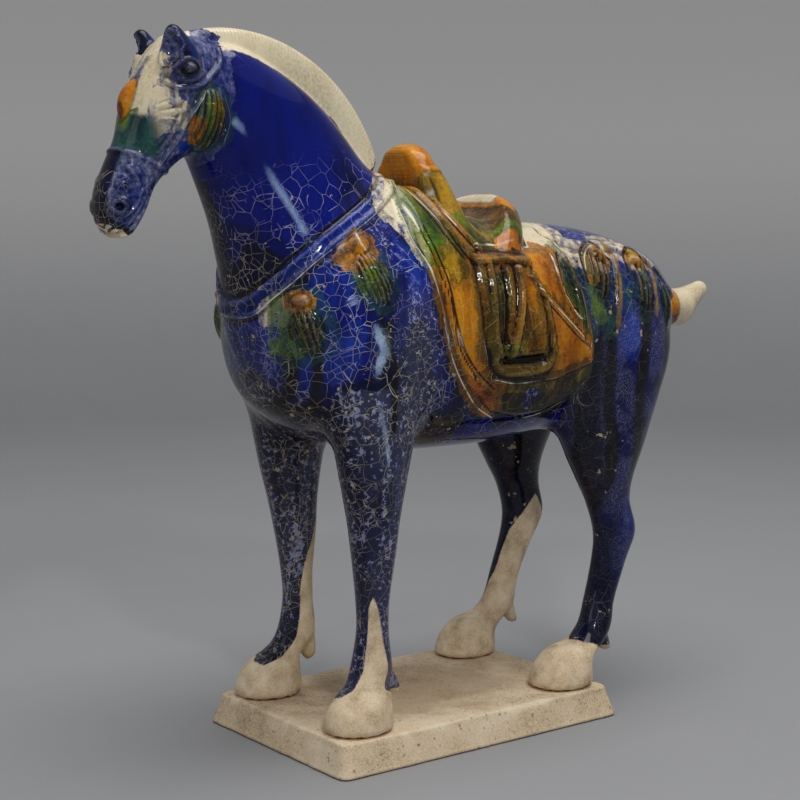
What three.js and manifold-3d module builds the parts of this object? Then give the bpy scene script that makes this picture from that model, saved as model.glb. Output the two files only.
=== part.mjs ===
// A glazed earthenware tomb horse on its slab plinth, in millimetres, +Z up.
// The horse faces -Y, its left flank is on +X, and the origin is the middle of the plinth's underside.
// The figure is one smooth form, joined from lofted sections, rods and ellipsoids. Its surface is
// meshed, the harness, saddlery and face are pressed onto it as relief, and it is simplified and cut
// flat at the soles. Signed distances below are approximate away from the surface.
import * as THREE from "three";
import { mergeVertices } from "three/addons/utils/BufferGeometryUtils.js";
import Module from "manifold-3d";

const wasm = await Module();
wasm.setup();

// Driving dimensions, in millimetres
const FIGURE_HEIGHT = 324.5; // plinth top to the top of the mane
const PLINTH_HEIGHT = 15.5;
const PLINTH_SLOPE = 3.8; // how far each side leans in from the underside to the top
const PLINTH_EDGE = 1.6; // rounding between the sloped sides and the top
const PLINTH_CORNER = 5; // rounding of the upright corners
const ROOM_AT_ENDS = 0.9; // from the hooves to the plinth's upper edge, along Y
const ROOM_AT_SIDES = 1.8; // the same, along X
const SEAT_GAP = 0.3; // between the soles and the plinth

// Mesh fineness
const GRID_STEP = 1.8; // millimetres
const FIGURE_TRIANGLES = 9000;
const CORNER_STEPS = 4;
const EDGE_STEPS = 4;

// Everything on the figure is in figure units, hundredths of its height, measured from the plinth's top
const UNIT = FIGURE_HEIGHT / 100;
const TINY = 1e-6;
const LEAST_CORE = 0.05; // least half size of a section inside its rounding

// Sections along the trunk: y, centre z, half width, half height
const TRUNK = {
  round: 4,
  power: 2.2,
  rows: [
    [-30.8, 57.0, 6.0, 7.0],
    [-28.0, 57.0, 11.0, 10.8],
    [-22.0, 57.5, 14.8, 15.5],
    [-14.0, 58.5, 16.3, 19.0],
    [-6.0, 58.5, 16.5, 20.0],
    [2.0, 56.5, 16.6, 18.3],
    [12.0, 55.3, 17.0, 16.9],
    [22.0, 56.2, 16.8, 16.5],
    [32.0, 57.0, 15.8, 14.6],
    [39.0, 57.1, 13.8, 12.8],
    [44.5, 57.3, 10.6, 11.0],
    [48.0, 57.6, 8.0, 8.4],
    [51.0, 58.0, 4.5, 5.0],
  ],
};
// Sections up the neck: z, centre y, half width, half depth
const NECK = {
  round: 1.5,
  power: 2.1,
  rows: [
    [46.0, -12.5, 7.0, 8.0],
    [52.0, -13.8, 11.0, 12.6],
    [59.0, -15.8, 13.4, 15.0],
    [66.0, -19.2, 12.3, 13.8],
    [73.0, -22.1, 10.5, 13.0],
    [80.0, -24.5, 8.6, 13.8],
    [86.0, -28.1, 7.2, 13.0],
    [91.0, -31.0, 5.9, 10.5],
    [95.0, -34.0, 4.4, 7.0],
    [97.5, -36.0, 2.8, 4.0],
  ],
};
// Sections from the poll to the lips: distance along the head, centre towards the face, half width,
// half depth
const HEAD = {
  poll: [-40.5, 96.5],
  lips: [-50.6, 71.8],
  round: 1.5,
  power: 2.3,
  rows: [
    [-1.5, 0.0, 3.5, 3.0],
    [3.0, -1.0, 5.2, 5.5],
    [7.0, -1.3, 6.0, 6.5],
    [11.0, -0.8, 5.4, 6.0],
    [15.0, 0.2, 4.2, 4.5],
    [19.0, 1.2, 3.8, 3.7],
    [23.0, 1.3, 4.0, 3.5],
    [26.0, 0.9, 3.2, 2.5],
    [27.6, 0.5, 1.8, 1.4],
  ],
};
// Sections up a left leg: z, centre y, half width, half depth, centre x
const FORELEG = {
  round: 1,
  power: 2,
  rows: [
    [2.0, -19.8, 3.2, 3.6, 12.0],
    [4.0, -19.4, 3.2, 3.6, 12.0],
    [6.5, -18.2, 2.8, 3.0, 11.8],
    [9.0, -17.0, 2.7, 3.1, 11.5],
    [14.2, -16.7, 2.35, 2.4, 11.5],
    [18.7, -16.7, 2.5, 2.5, 11.5],
    [22.3, -16.6, 2.9, 2.9, 11.5],
    [26.0, -16.5, 3.3, 3.4, 11.5],
    [30.4, -16.5, 3.7, 4.0, 11.5],
    [36.0, -16.4, 4.4, 5.1, 11.4],
    [42.0, -16.2, 5.2, 6.3, 11.0],
    [49.0, -16.5, 5.8, 7.6, 9.6],
    [57.0, -16.5, 3.5, 4.5, 7.5],
  ],
};
const HINDLEG = {
  round: 1,
  power: 2,
  rows: [
    [1.5, 19.5, 3.2, 3.4, 12.0],
    [3.5, 21.5, 3.2, 3.4, 12.0],
    [6.0, 25.0, 2.9, 3.3, 11.8],
    [8.5, 27.5, 2.6, 2.9, 11.5],
    [12.0, 28.7, 2.4, 2.6, 11.2],
    [18.4, 31.0, 2.6, 3.0, 11.0],
    [23.0, 32.2, 2.9, 3.8, 11.0],
    [28.3, 30.6, 3.1, 4.0, 11.0],
    [32.0, 29.8, 4.0, 5.1, 11.0],
    [38.0, 29.8, 5.2, 7.8, 10.8],
    [45.0, 31.5, 6.2, 8.7, 10.2],
    [53.0, 33.1, 6.8, 8.5, 8.8],
    [60.0, 33.2, 4.0, 6.0, 7.0],
  ],
};
// How far the right legs stand behind the left ones: z, distance
const RIGHT_FORELEG_BACK = [
  [4.0, 0.0],
  [8.0, 1.9],
  [14.0, 2.3],
  [20.0, 2.1],
  [28.0, 1.5],
  [36.0, 0.8],
  [44.0, 0.2],
];
const RIGHT_HINDLEG_BACK = [
  [4.0, 0.0],
  [8.0, -0.7],
  [14.0, -1.2],
  [20.0, -0.8],
  [28.0, 0.0],
  [36.0, -0.3],
  [44.0, 0.0],
];
// Sections up a hoof: z, how far its centre has moved back, half width, half depth
const HOOF = {
  round: 0.8,
  power: 2.1,
  rows: [
    [-1.0, 0.0, 4.4, 5.1],
    [0.8, 0.0, 4.6, 5.3],
    [3.0, 0.3, 4.3, 4.9],
    [5.0, 1.1, 3.5, 4.0],
    [6.2, 1.9, 2.4, 2.9],
  ],
};
// Where the middles of the left hooves stand: x, y
const FORE_HOOF = [12, -19.6];
const HIND_HOOF = [12, 20.0];

const HAUNCH = { centre: [8.4, 33.3, 55], half: [7.8, 8.7, 13] };
// An ear is the upper part of an ellipsoid that leans forwards by so many degrees
const EAR = { centre: [4.4, -43.1, 94.2], half: [2.6, 2.9, 5.1], lean: 18 };
// Rods: the two ends of the axis and the radius at each
const FORE_TUFT = { from: [11.5, -16.0, 9.0], to: [11.5, -12.8, 5.2], start: 1.8, end: 0.9 };
const HIND_TUFT = { from: [11.5, 27.6, 8.4], to: [11.5, 30.0, 4.6], start: 1.8, end: 0.9 };
const TAIL_ROOT = { from: [0, 49, 58.2], to: [0, 57.3, 57.9], start: 3.8, end: 3.0 };
const TAIL_TIP = { from: [0, 57.3, 57.9], to: [0, 62.7, 60.8], start: 3.0, end: 1.5 };

// The hogged mane: a crest along an arc about (y, z), sunk into the neck. It runs between two angles
// in degrees and loses height near both.
const MANE = {
  y: -33,
  z: 73,
  outer: 26.9,
  depth: 9,
  half: 1.6,
  from: 12,
  to: 114,
  fade: 9,
  least: 0.4,
  power: 2.6,
};

// The saddle's arches: foot and top (y, z), half thickness, and half width by height along the lean
const POMMEL = {
  foot: [2.2, 62],
  top: [-2.3, 84.6],
  thick: 1.9,
  widths: [
    [0.0, 15.3],
    [4.0, 14.0],
    [8.0, 12.0],
    [13.5, 8.8],
    [17.5, 6.6],
    [20.5, 4.8],
    [22.2, 3.2],
    [23.1, 1.6],
  ],
};
const CANTLE = {
  foot: [4.1, 62],
  top: [14.8, 76.6],
  thick: 1.9,
  widths: [
    [0.0, 15.3],
    [5.0, 14.0],
    [9.5, 12.0],
    [13.0, 9.6],
    [15.6, 7.0],
    [17.2, 4.6],
    [18.1, 2.4],
  ],
};
const ARCH_ROUND = 1.5;
const SEAT = { centre: [0, 5.5, 62], half: [13.8, 10, 12.4] };

// A step from 0 to 1 with soft ends
function smooth(t) {
  const c = Math.min(Math.max(t, 0), 1);
  return c * c * (3 - 2 * c);
}

// Smooth table lookup: cubic through the rows, flat beyond the ends
function sectionAt(table, t) {
  const last = table.length - 1;
  if (t <= table[0][0]) return table[0];
  if (t >= table[last][0]) return table[last];
  let i = 0;
  while (t > table[i + 1][0]) i++;
  const before = table[Math.max(i - 1, 0)];
  const low = table[i];
  const high = table[i + 1];
  const after = table[Math.min(i + 2, last)];
  const span = high[0] - low[0];
  const s = (t - low[0]) / span;
  const row = [t];
  for (let c = 1; c < low.length; c++) {
    const startSlope = ((high[c] - before[c]) / (high[0] - before[0])) * span;
    const endSlope = ((after[c] - low[c]) / (after[0] - low[0])) * span;
    row.push(
      low[c] * (2 * s * s * s - 3 * s * s + 1) +
        startSlope * (s * s * s - 2 * s * s + s) +
        high[c] * (3 * s * s - 2 * s * s * s) +
        endSlope * (s * s * s - s * s),
    );
  }
  return row;
}

// Distance to a body with a superellipse section of half sizes (halfA, halfB) between first and last,
// whose end edges are rounded
function loft(t, first, last, a, b, halfA, halfB, round, power) {
  const innerA = Math.max(halfA - round, LEAST_CORE);
  const innerB = Math.max(halfB - round, LEAST_CORE);
  const shareA = Math.max(Math.abs(a) / innerA, TINY);
  const shareB = Math.max(Math.abs(b) / innerB, TINY);
  const r = (shareA ** power + shareB ** power) ** (1 / power);
  const slope = r ** (1 - power) * Math.hypot(shareA ** (power - 1) / innerA, shareB ** (power - 1) / innerB);
  const side = (r - 1) / slope;
  const end = Math.max(first + round - t, t - last + round);
  return Math.hypot(Math.max(side, 0), Math.max(end, 0)) + Math.min(Math.max(side, end), 0) - round;
}

// Distance to a body lofted through rows of t, centre, half width, half depth and, on a leg, centre x
function lofted({ rows, round, power }, t, x, v) {
  const [, centre, halfWidth, halfDepth, out = 0] = sectionAt(rows, t);
  return loft(t, rows[0][0], rows.at(-1)[0], x - out, v - centre, halfWidth, halfDepth, round, power);
}

function ellipsoid({ centre, half }, ...point) {
  const out = point.map((v, axis) => v - centre[axis]);
  const share = Math.hypot(...out.map((v, axis) => v / half[axis]));
  const slope = Math.hypot(...out.map((v, axis) => v / half[axis] ** 2));
  return slope < TINY ? -Math.min(...half) : (share * (share - 1)) / slope;
}

// Distance to an ellipsoid whose length leans forwards
function leaning({ centre, half, lean }, x, y, z) {
  const turn = (lean * Math.PI) / 180;
  const [c, n] = [Math.cos(turn), Math.sin(turn)];
  const [dy, dz] = [y - centre[1], z - centre[2]];
  return ellipsoid({ centre, half }, x, centre[1] + dy * c + dz * n, centre[2] + dz * c - dy * n);
}

// Distance to a rod with round ends
function rod({ from, to, start, end }, ...point) {
  const axis = to.map((v, k) => v - from[k]);
  const out = point.map((v, k) => v - from[k]);
  const along = out.reduce((sum, v, k) => sum + v * axis[k], 0) / axis.reduce((sum, v) => sum + v * v, 0);
  const s = Math.min(Math.max(along, 0), 1);
  return Math.hypot(...out.map((v, k) => v - axis[k] * s)) - (start + (end - start) * s);
}

// Union of two distances with a fillet of about k
function blend(a, b, k) {
  const h = Math.max(k - Math.abs(a - b), 0) / k;
  return Math.min(a, b) - h * h * k * 0.25;
}

// A form is only worked out near its corners' box, and is the plain distance to that box further off
const NEAR = 7;
class Form {
  constructor(corners, distance) {
    this.low = [0, 1, 2].map((axis) => Math.min(...corners.map((corner) => corner[axis])));
    this.high = [0, 1, 2].map((axis) => Math.max(...corners.map((corner) => corner[axis])));
    this.distance = distance;
  }

  at(x, y, z) {
    const dx = Math.max(this.low[0] - x, x - this.high[0], 0);
    const dy = Math.max(this.low[1] - y, y - this.high[1], 0);
    const dz = Math.max(this.low[2] - z, z - this.high[2], 0);
    const away = Math.hypot(dx, dy, dz);
    return away > NEAR ? away : this.distance(x, y, z);
  }
}

const bothSides = (corners) => corners.flatMap(([x, y, z]) => [[x, y, z], [-x, y, z]]);
const plusMinus = (make) => [-1, 1].map(make);
const cornersOfRod = ({ from, to, start }) =>
  [from, to].flatMap((p) => plusMinus((side) => p.map((v) => v + side * start)));
const cornersOfEllipsoid = ({ centre, half }) =>
  plusMinus((side) => centre.map((v, axis) => v + side * half[axis]));
const cornersOfUpright = ({ rows }) =>
  bothSides(
    rows.flatMap(([z, y, halfWidth, halfDepth, x = 0]) =>
      plusMinus((side) => [x + halfWidth, y + side * halfDepth, z]),
    ),
  );

const trunk = new Form(
  bothSides(
    TRUNK.rows.flatMap(([y, z, halfWidth, halfHeight]) =>
      plusMinus((side) => [halfWidth, y, z + side * halfHeight]),
    ),
  ),
  (x, y, z) => lofted(TRUNK, y, x, z),
);
const neck = new Form(cornersOfUpright(NECK), (x, y, z) => lofted(NECK, z, x, y));

// The head's own frame: the distance along its axis from the poll, and the distance out towards the face
const headLength = Math.hypot(HEAD.lips[0] - HEAD.poll[0], HEAD.lips[1] - HEAD.poll[1]);
const headAxis = HEAD.lips.map((v, k) => (v - HEAD.poll[k]) / headLength);
function headFrame(y, z) {
  const dy = y - HEAD.poll[0];
  const dz = z - HEAD.poll[1];
  return [dy * headAxis[0] + dz * headAxis[1], dy * headAxis[1] - dz * headAxis[0]];
}
function fromHeadFrame(x, along, face) {
  const [dy, dz] = headAxis;
  return [x, HEAD.poll[0] + along * dy + face * dz, HEAD.poll[1] + along * dz - face * dy];
}
const head = new Form(
  bothSides(
    HEAD.rows.flatMap(([along, face, halfWidth, halfDepth]) =>
      plusMinus((side) => fromHeadFrame(halfWidth, along, face + side * halfDepth)),
    ),
  ),
  (x, y, z) => {
    const [along, face] = headFrame(y, z);
    return lofted(HEAD, along, x, face);
  },
);

const backOf = (table, x, z) => (x < 0 ? sectionAt(table, z)[1] : 0);
const forelegs = new Form(cornersOfUpright(FORELEG), (x, y, z) =>
  lofted(FORELEG, z, Math.abs(x), y - backOf(RIGHT_FORELEG_BACK, x, z)),
);
const hindlegs = new Form(cornersOfUpright(HINDLEG), (x, y, z) =>
  lofted(HINDLEG, z, Math.abs(x), y - backOf(RIGHT_HINDLEG_BACK, x, z)),
);
const haunches = new Form(bothSides(cornersOfEllipsoid(HAUNCH)), (x, y, z) =>
  ellipsoid(HAUNCH, Math.abs(x), y, z),
);
const hoofPlaces = [FORE_HOOF, HIND_HOOF];
const hooves = new Form(
  bothSides(hoofPlaces.flatMap(([x0, y0]) => cornersOfUpright(HOOF).map(([x, y, z]) => [x0 + x, y0 + y, z]))),
  (x, y, z) => Math.min(...hoofPlaces.map(([x0, y0]) => lofted(HOOF, z, Math.abs(x) - x0, y - y0))),
);
const tufts = new Form(bothSides([FORE_TUFT, HIND_TUFT].flatMap(cornersOfRod)), (x, y, z) => {
  const fore = rod(FORE_TUFT, Math.abs(x), y - backOf(RIGHT_FORELEG_BACK, x, z), z);
  return Math.min(fore, rod(HIND_TUFT, Math.abs(x), y, z));
});
const ears = new Form(bothSides(cornersOfEllipsoid(EAR)), (x, y, z) => leaning(EAR, Math.abs(x), y, z));
const tail = new Form([TAIL_ROOT, TAIL_TIP].flatMap(cornersOfRod), (x, y, z) =>
  blend(rod(TAIL_ROOT, x, y, z), rod(TAIL_TIP, x, y, z), 1),
);

// The mane is worked out in the turned frame of the nearest point on its arc
const mane = new Form(
  bothSides(
    plusMinus((side) => [MANE.half, MANE.y + side * MANE.outer, MANE.z + Math.max(side * MANE.outer, 0)]),
  ),
  (x, y, z) => {
    const angle = THREE.MathUtils.radToDeg(Math.atan2(z - MANE.z, y - MANE.y));
    const along = THREE.MathUtils.clamp(angle, MANE.from, MANE.to);
    const fromEnd = Math.min(along - MANE.from, MANE.to - along);
    const height = (MANE.least + (1 - MANE.least) * smooth(fromEnd / MANE.fade)) * MANE.depth;
    const radius = MANE.outer - MANE.depth / 2;
    const turn = THREE.MathUtils.degToRad(along);
    const off = Math.hypot(y - MANE.y - radius * Math.cos(turn), z - MANE.z - radius * Math.sin(turn));
    return loft(0, -1, 1, x, off, MANE.half, height / 2, TINY, MANE.power);
  },
);

function arch({ foot, top, thick, widths }, x, y, z) {
  const length = Math.hypot(top[0] - foot[0], top[1] - foot[1]);
  const up = top.map((v, k) => (v - foot[k]) / length);
  const height = (y - foot[0]) * up[0] + (z - foot[1]) * up[1];
  const off = (y - foot[0]) * up[1] - (z - foot[1]) * up[0];
  const past = [Math.abs(x) - sectionAt(widths, height)[1], Math.abs(off) - thick, height - length];
  const inner = past.map((v) => v + ARCH_ROUND);
  return Math.hypot(...inner.map((v) => Math.max(v, 0))) + Math.min(Math.max(...inner), 0) - ARCH_ROUND;
}
const saddle = new Form(
  bothSides(
    [POMMEL, CANTLE].flatMap(({ foot, top, widths }) => [foot, top].map(([y, z]) => [widths[0][1], y, z])),
  ),
  (x, y, z) => {
    const arches = blend(arch(POMMEL, x, y, z), arch(CANTLE, x, y, z), 1);
    return Math.max(blend(arches, ellipsoid(SEAT, x, y, z), 2.5), SEAT.centre[2] - z);
  },
);

// The forms in the order in which they are joined, each with the fillet where it meets the ones before
const JOINED = [
  [trunk, 1],
  [neck, 6],
  [head, 2.5],
  [forelegs, 4],
  [hindlegs, 5],
  [haunches, 4],
  [tail, 2],
  [hooves, 1.2],
  [tufts, 1],
  [mane, 0.6],
  [ears, 0.8],
  [saddle, 0.8],
];
const body = (x, y, z) => JOINED.reduce((d, [form, fillet]) => blend(d, form.at(x, y, z), fillet), Infinity);

// Relief is drawn in the side view (y, z) and pressed onto both flanks alike.
// Each maker below gives a function of (y, z) whose value is the height raised there.
const SOFT = 0.8; // width of the soft edge of a raised shape

function curve(points, steps = 6) {
  const spline = new THREE.SplineCurve(points.map(([y, z]) => new THREE.Vector2(y, z)));
  return spline.getPoints((points.length - 1) * steps).map((p) => [p.x, p.y]);
}

// Distance to a line of points, below zero inside it where it is closed
function lineDistance(points, y, z, closed = false) {
  let best = Infinity;
  let inside = false;
  for (let i = closed ? 0 : 1; i < points.length; i++) {
    const [ay, az] = points[(i || points.length) - 1];
    const [by, bz] = points[i];
    const dy = by - ay;
    const dz = bz - az;
    const length2 = dy * dy + dz * dz;
    if (length2 === 0) continue;
    const t = Math.min(Math.max(((y - ay) * dy + (z - az) * dz) / length2, 0), 1);
    best = Math.min(best, Math.hypot(y - ay - dy * t, z - az - dz * t));
    if (closed && az > z !== bz > z && y < ay + (dy * (z - az)) / dz) inside = !inside;
  }
  return inside ? -best : best;
}

// Keeps a raised shape from being worked out beyond the box around its points
function nearPoints(points, margin, height) {
  const ys = points.map((p) => p[0]);
  const zs = points.map((p) => p[1]);
  const [lowY, highY] = [Math.min(...ys) - margin, Math.max(...ys) + margin];
  const [lowZ, highZ] = [Math.min(...zs) - margin, Math.max(...zs) + margin];
  return (y, z) => (y < lowY || y > highY || z < lowZ || z > highZ ? 0 : height(y, z));
}

// A band along a path, raised or sunk
function band(points, half, rise, soft = SOFT) {
  const line = curve(points);
  return nearPoints(line, half, (y, z) => rise * smooth((half - lineDistance(line, y, z)) / soft));
}

// A raised or sunk area inside a closed outline
function pad(outline, rise, soft = SOFT) {
  return nearPoints(outline, 0, (y, z) => rise * smooth(-lineDistance(outline, y, z, true) / soft));
}

// A domed leaf or boss: centre, half sizes across and along, lean of its length from upright in degrees
function dome(centre, across, along, lean, rise) {
  const c = Math.cos(THREE.MathUtils.degToRad(lean));
  const n = Math.sin(THREE.MathUtils.degToRad(lean));
  return (y, z) => {
    const u = (y - centre[0]) * c + (z - centre[1]) * n;
    const v = (z - centre[1]) * c - (y - centre[0]) * n;
    return rise * Math.max(1 - (u / across) ** 2 - (v / along) ** 2, 0);
  };
}

// The saddle cloth, its tied-up flap and the folds that hang from the knot
const CLOTH_FRONT = [
  [-8.5, 82.0],
  [-9.7, 76.2],
  [-10.4, 69.2],
  [-8.2, 62.1],
  [-5.2, 53.3],
  [0.5, 47.2],
  [3.5, 44.9],
];
const CLOTH_BACK = [
  [3.5, 44.9],
  [10.0, 43.9],
  [17.5, 45.4],
  [21.9, 50.0],
  [20.8, 58.5],
  [19.6, 65.0],
  [19.3, 70.0],
  [18.0, 80.0],
];
const FLAP = [
  [-1.2, 67.5],
  [-1.4, 63.3],
  [-0.5, 56.0],
  [0.8, 52.2],
  [3.6, 50.1],
  [13.4, 49.2],
  [21.4, 51.4],
  [21.0, 53.4],
  [18.2, 56.0],
  [10.7, 63.3],
  [10.3, 67.5],
  [-1.2, 67.5],
];
const SUNK_PANEL = [
  [16.6, 67.2],
  [15.7, 63.5],
  [16.6, 60.3],
  [18.3, 58.6],
  [18.9, 61.0],
  [18.8, 65.0],
  [18.0, 68.6],
];
const SADDLERY = [
  pad([...curve(CLOTH_FRONT), ...curve(CLOTH_BACK)], 0.5),
  pad(curve(FLAP), 0.75, 1.1),
  // knot
  band([[-0.6, 67.3], [5.0, 67.2], [10.4, 66.7]], 1.2, 0.7),
  // two ridges that run down from the pommel to the knot
  band([[-3.1, 79.5], [-2.7, 76.6], [-2.1, 73.1], [1.2, 68.7]], 0.8, 0.5),
  band([[-5.8, 79.5], [-5.2, 75.5], [-4.0, 71.8], [-1.4, 67.9]], 0.8, 0.45),
  // folds below the knot, with a groove between the first two
  band([[1.3, 66.1], [1.0, 57.4], [2.2, 53.8]], 0.8, 0.55),
  band([[4.2, 65.5], [3.8, 60.0], [3.3, 55.5]], 0.8, -0.6),
  band([[6.8, 65.5], [6.4, 61.6], [4.9, 55.7], [4.4, 53.4]], 0.85, 0.8),
  band([[10.8, 65.0], [11.1, 61.0], [12.1, 54.0]], 0.8, 0.5),
  // rim of the stirrup-shaped loop, and the hollow above it
  band([[1.3, 54.8], [1.7, 52.2], [4.3, 51.0], [10.8, 51.5], [12.1, 53.9]], 0.9, 0.7),
  band([[3.4, 52.8], [7.0, 52.7], [10.4, 52.9]], 0.9, -0.9),
  pad(SUNK_PANEL, -0.45),
];
// The saddlery fades out towards the spine: half width left bare, and width of the fade
const SPINE = 3;
const SPINE_FADE = 4;

// The breast strap with two tassels a side, each under a boss, and the crupper with three
const BREAST_STRAP = [
  [-8.0, 79.0],
  [-11.0, 77.2],
  [-16.7, 73.4],
  [-22.1, 70.8],
  [-26.8, 67.3],
  [-29.6, 64.5],
  [-31.6, 61.6],
  [-33.0, 60.0],
  [-37.0, 59.0],
];
const CRUPPER = [
  [18.5, 70.6],
  [23.0, 69.3],
  [28.0, 69.1],
  [32.0, 68.7],
  [36.0, 67.3],
  [40.0, 65.2],
  [44.0, 62.4],
  [48.0, 60.4],
];
const HARNESS = [
  band(BREAST_STRAP, 1.2, 0.35),
  dome([-19.2, 65.4], 2.3, 4.6, 14, 0.9),
  dome([-20.3, 69.4], 1.6, 1.4, 0, 0.9),
  dome([-27.8, 58.9], 1.5, 4.0, 6, 0.8),
  dome([-28.0, 62.4], 1.3, 1.3, 0, 0.8),
  band(CRUPPER, 0.9, 0.45),
  dome([26.2, 64.3], 2.0, 3.9, 0, 1.0),
  dome([26.4, 67.4], 1.3, 1.2, 0, 1.0),
  dome([33.8, 63.0], 1.8, 4.2, 6, 1.0),
  dome([34.6, 66.3], 1.2, 1.1, 0, 1.0),
  dome([40.2, 61.0], 1.3, 3.8, 6, 0.9),
];

// What is on the head, from its throat forward
const THROAT = [-35, 69];
const HEADWORK = [
  // eye
  dome([-42.9, 93.2], 1.7, 1.3, 30, 0.9),
  // brow band, cheek strap, the line of the cheek, and the ornaments on both
  band([[-46.5, 93.2], [-45.2, 91.7], [-43.2, 91.0], [-40, 92.4], [-36.8, 95.6]], 0.7, 0.5, 0.5),
  band([[-40.3, 90.6], [-41, 87.5], [-42.2, 84.9], [-43.6, 82.0]], 0.75, 0.5, 0.5),
  band([[-44.8, 90.6], [-46.6, 86.5], [-48.3, 83.0]], 0.8, 0.4),
  dome([-39.2, 87.0], 1.7, 3.7, 6, 1.0),
  dome([-46.0, 87.4], 1.7, 1.7, 0, 0.5),
  // flared nostril with its hole
  dome([-52.0, 75.4], 1.5, 1.8, -20, 0.6),
  dome([-52.3, 75.2], 0.8, 1.1, -20, -0.7),
  // mouth
  band([[-55, 73.4], [-52.0, 73.6], [-49.6, 75.0]], 0.8, -0.5),
];
// On the face itself, by distance along the head: the noseband all round and a leaf on the forehead
const NOSEBAND = { along: 14.6, half: 0.7, rise: 0.45, soft: 0.5 };
const LEAF = { along: 7.6, halfLength: 3.4, halfWidth: 2, rise: 1.1 };
const FACE_BACK = -6; // how far behind the head's axis the noseband runs
const FACE_END = 24; // and how far along the head anything is
function faceRelief(x, y, z) {
  const [along, face] = headFrame(y, z);
  if (face < FACE_BACK || along > FACE_END) return 0;
  const nose = NOSEBAND.rise * smooth((NOSEBAND.half - Math.abs(along - NOSEBAND.along)) / NOSEBAND.soft);
  const share = (x / LEAF.halfWidth) ** 2 + ((along - LEAF.along) / LEAF.halfLength) ** 2;
  return nose + (face > 0 ? LEAF.rise * Math.max(1 - share, 0) : 0);
}

// Height of all relief at a point of the body's surface, along its normal
function relief(x, y, z) {
  const total = (works) => works.reduce((sum, work) => sum + work(y, z), 0);
  if (y < THROAT[0] && z > THROAT[1]) return total(HEADWORK) + faceRelief(x, y, z);
  return total(HARNESS) + total(SADDLERY) * smooth((Math.abs(x) - SPINE) / SPINE_FADE);
}

// A cell's corners are numbered by bits: 1 for x, 2 for y, 4 for z. An edge is named by its lower
// corner and its direction.
const edgeName = (p, q) => (p & q) * 8 + (p ^ q);
const CELL_FACES = [];
for (const [normal, u, w] of [[1, 2, 4], [2, 1, 4], [4, 1, 2]]) {
  for (const side of [0, normal]) CELL_FACES.push([side, side | u, side | u | w, side | w]);
}

// Groups a cell's crossed edges into the sheets of surface that pass through it
function sheetsOf(inside) {
  const group = new Map();
  const find = (e) => (group.get(e) === e ? e : find(group.get(e)));
  for (const corners of CELL_FACES) {
    const crossed = corners.map((p, i) => {
      const q = corners[(i + 1) % 4];
      return inside[p] === inside[q] ? null : edgeName(p, q);
    });
    const found = crossed.filter((e) => e !== null);
    for (const e of found) if (!group.has(e)) group.set(e, e);
    if (found.length === 2) group.set(find(found[0]), find(found[1]));
    if (found.length < 4) continue;
    corners.forEach((p, i) => {
      if (inside[p]) group.set(find(crossed[i]), find(crossed[(i + 3) % 4]));
    });
  }
  return [...group.keys()].map((e) => [e, find(e)]);
}

// Blocks of cells are skipped where the middle is further than this from the surface, in block lengths
const BLOCK = 4;
const BLOCK_REACH = 1.6;

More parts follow.
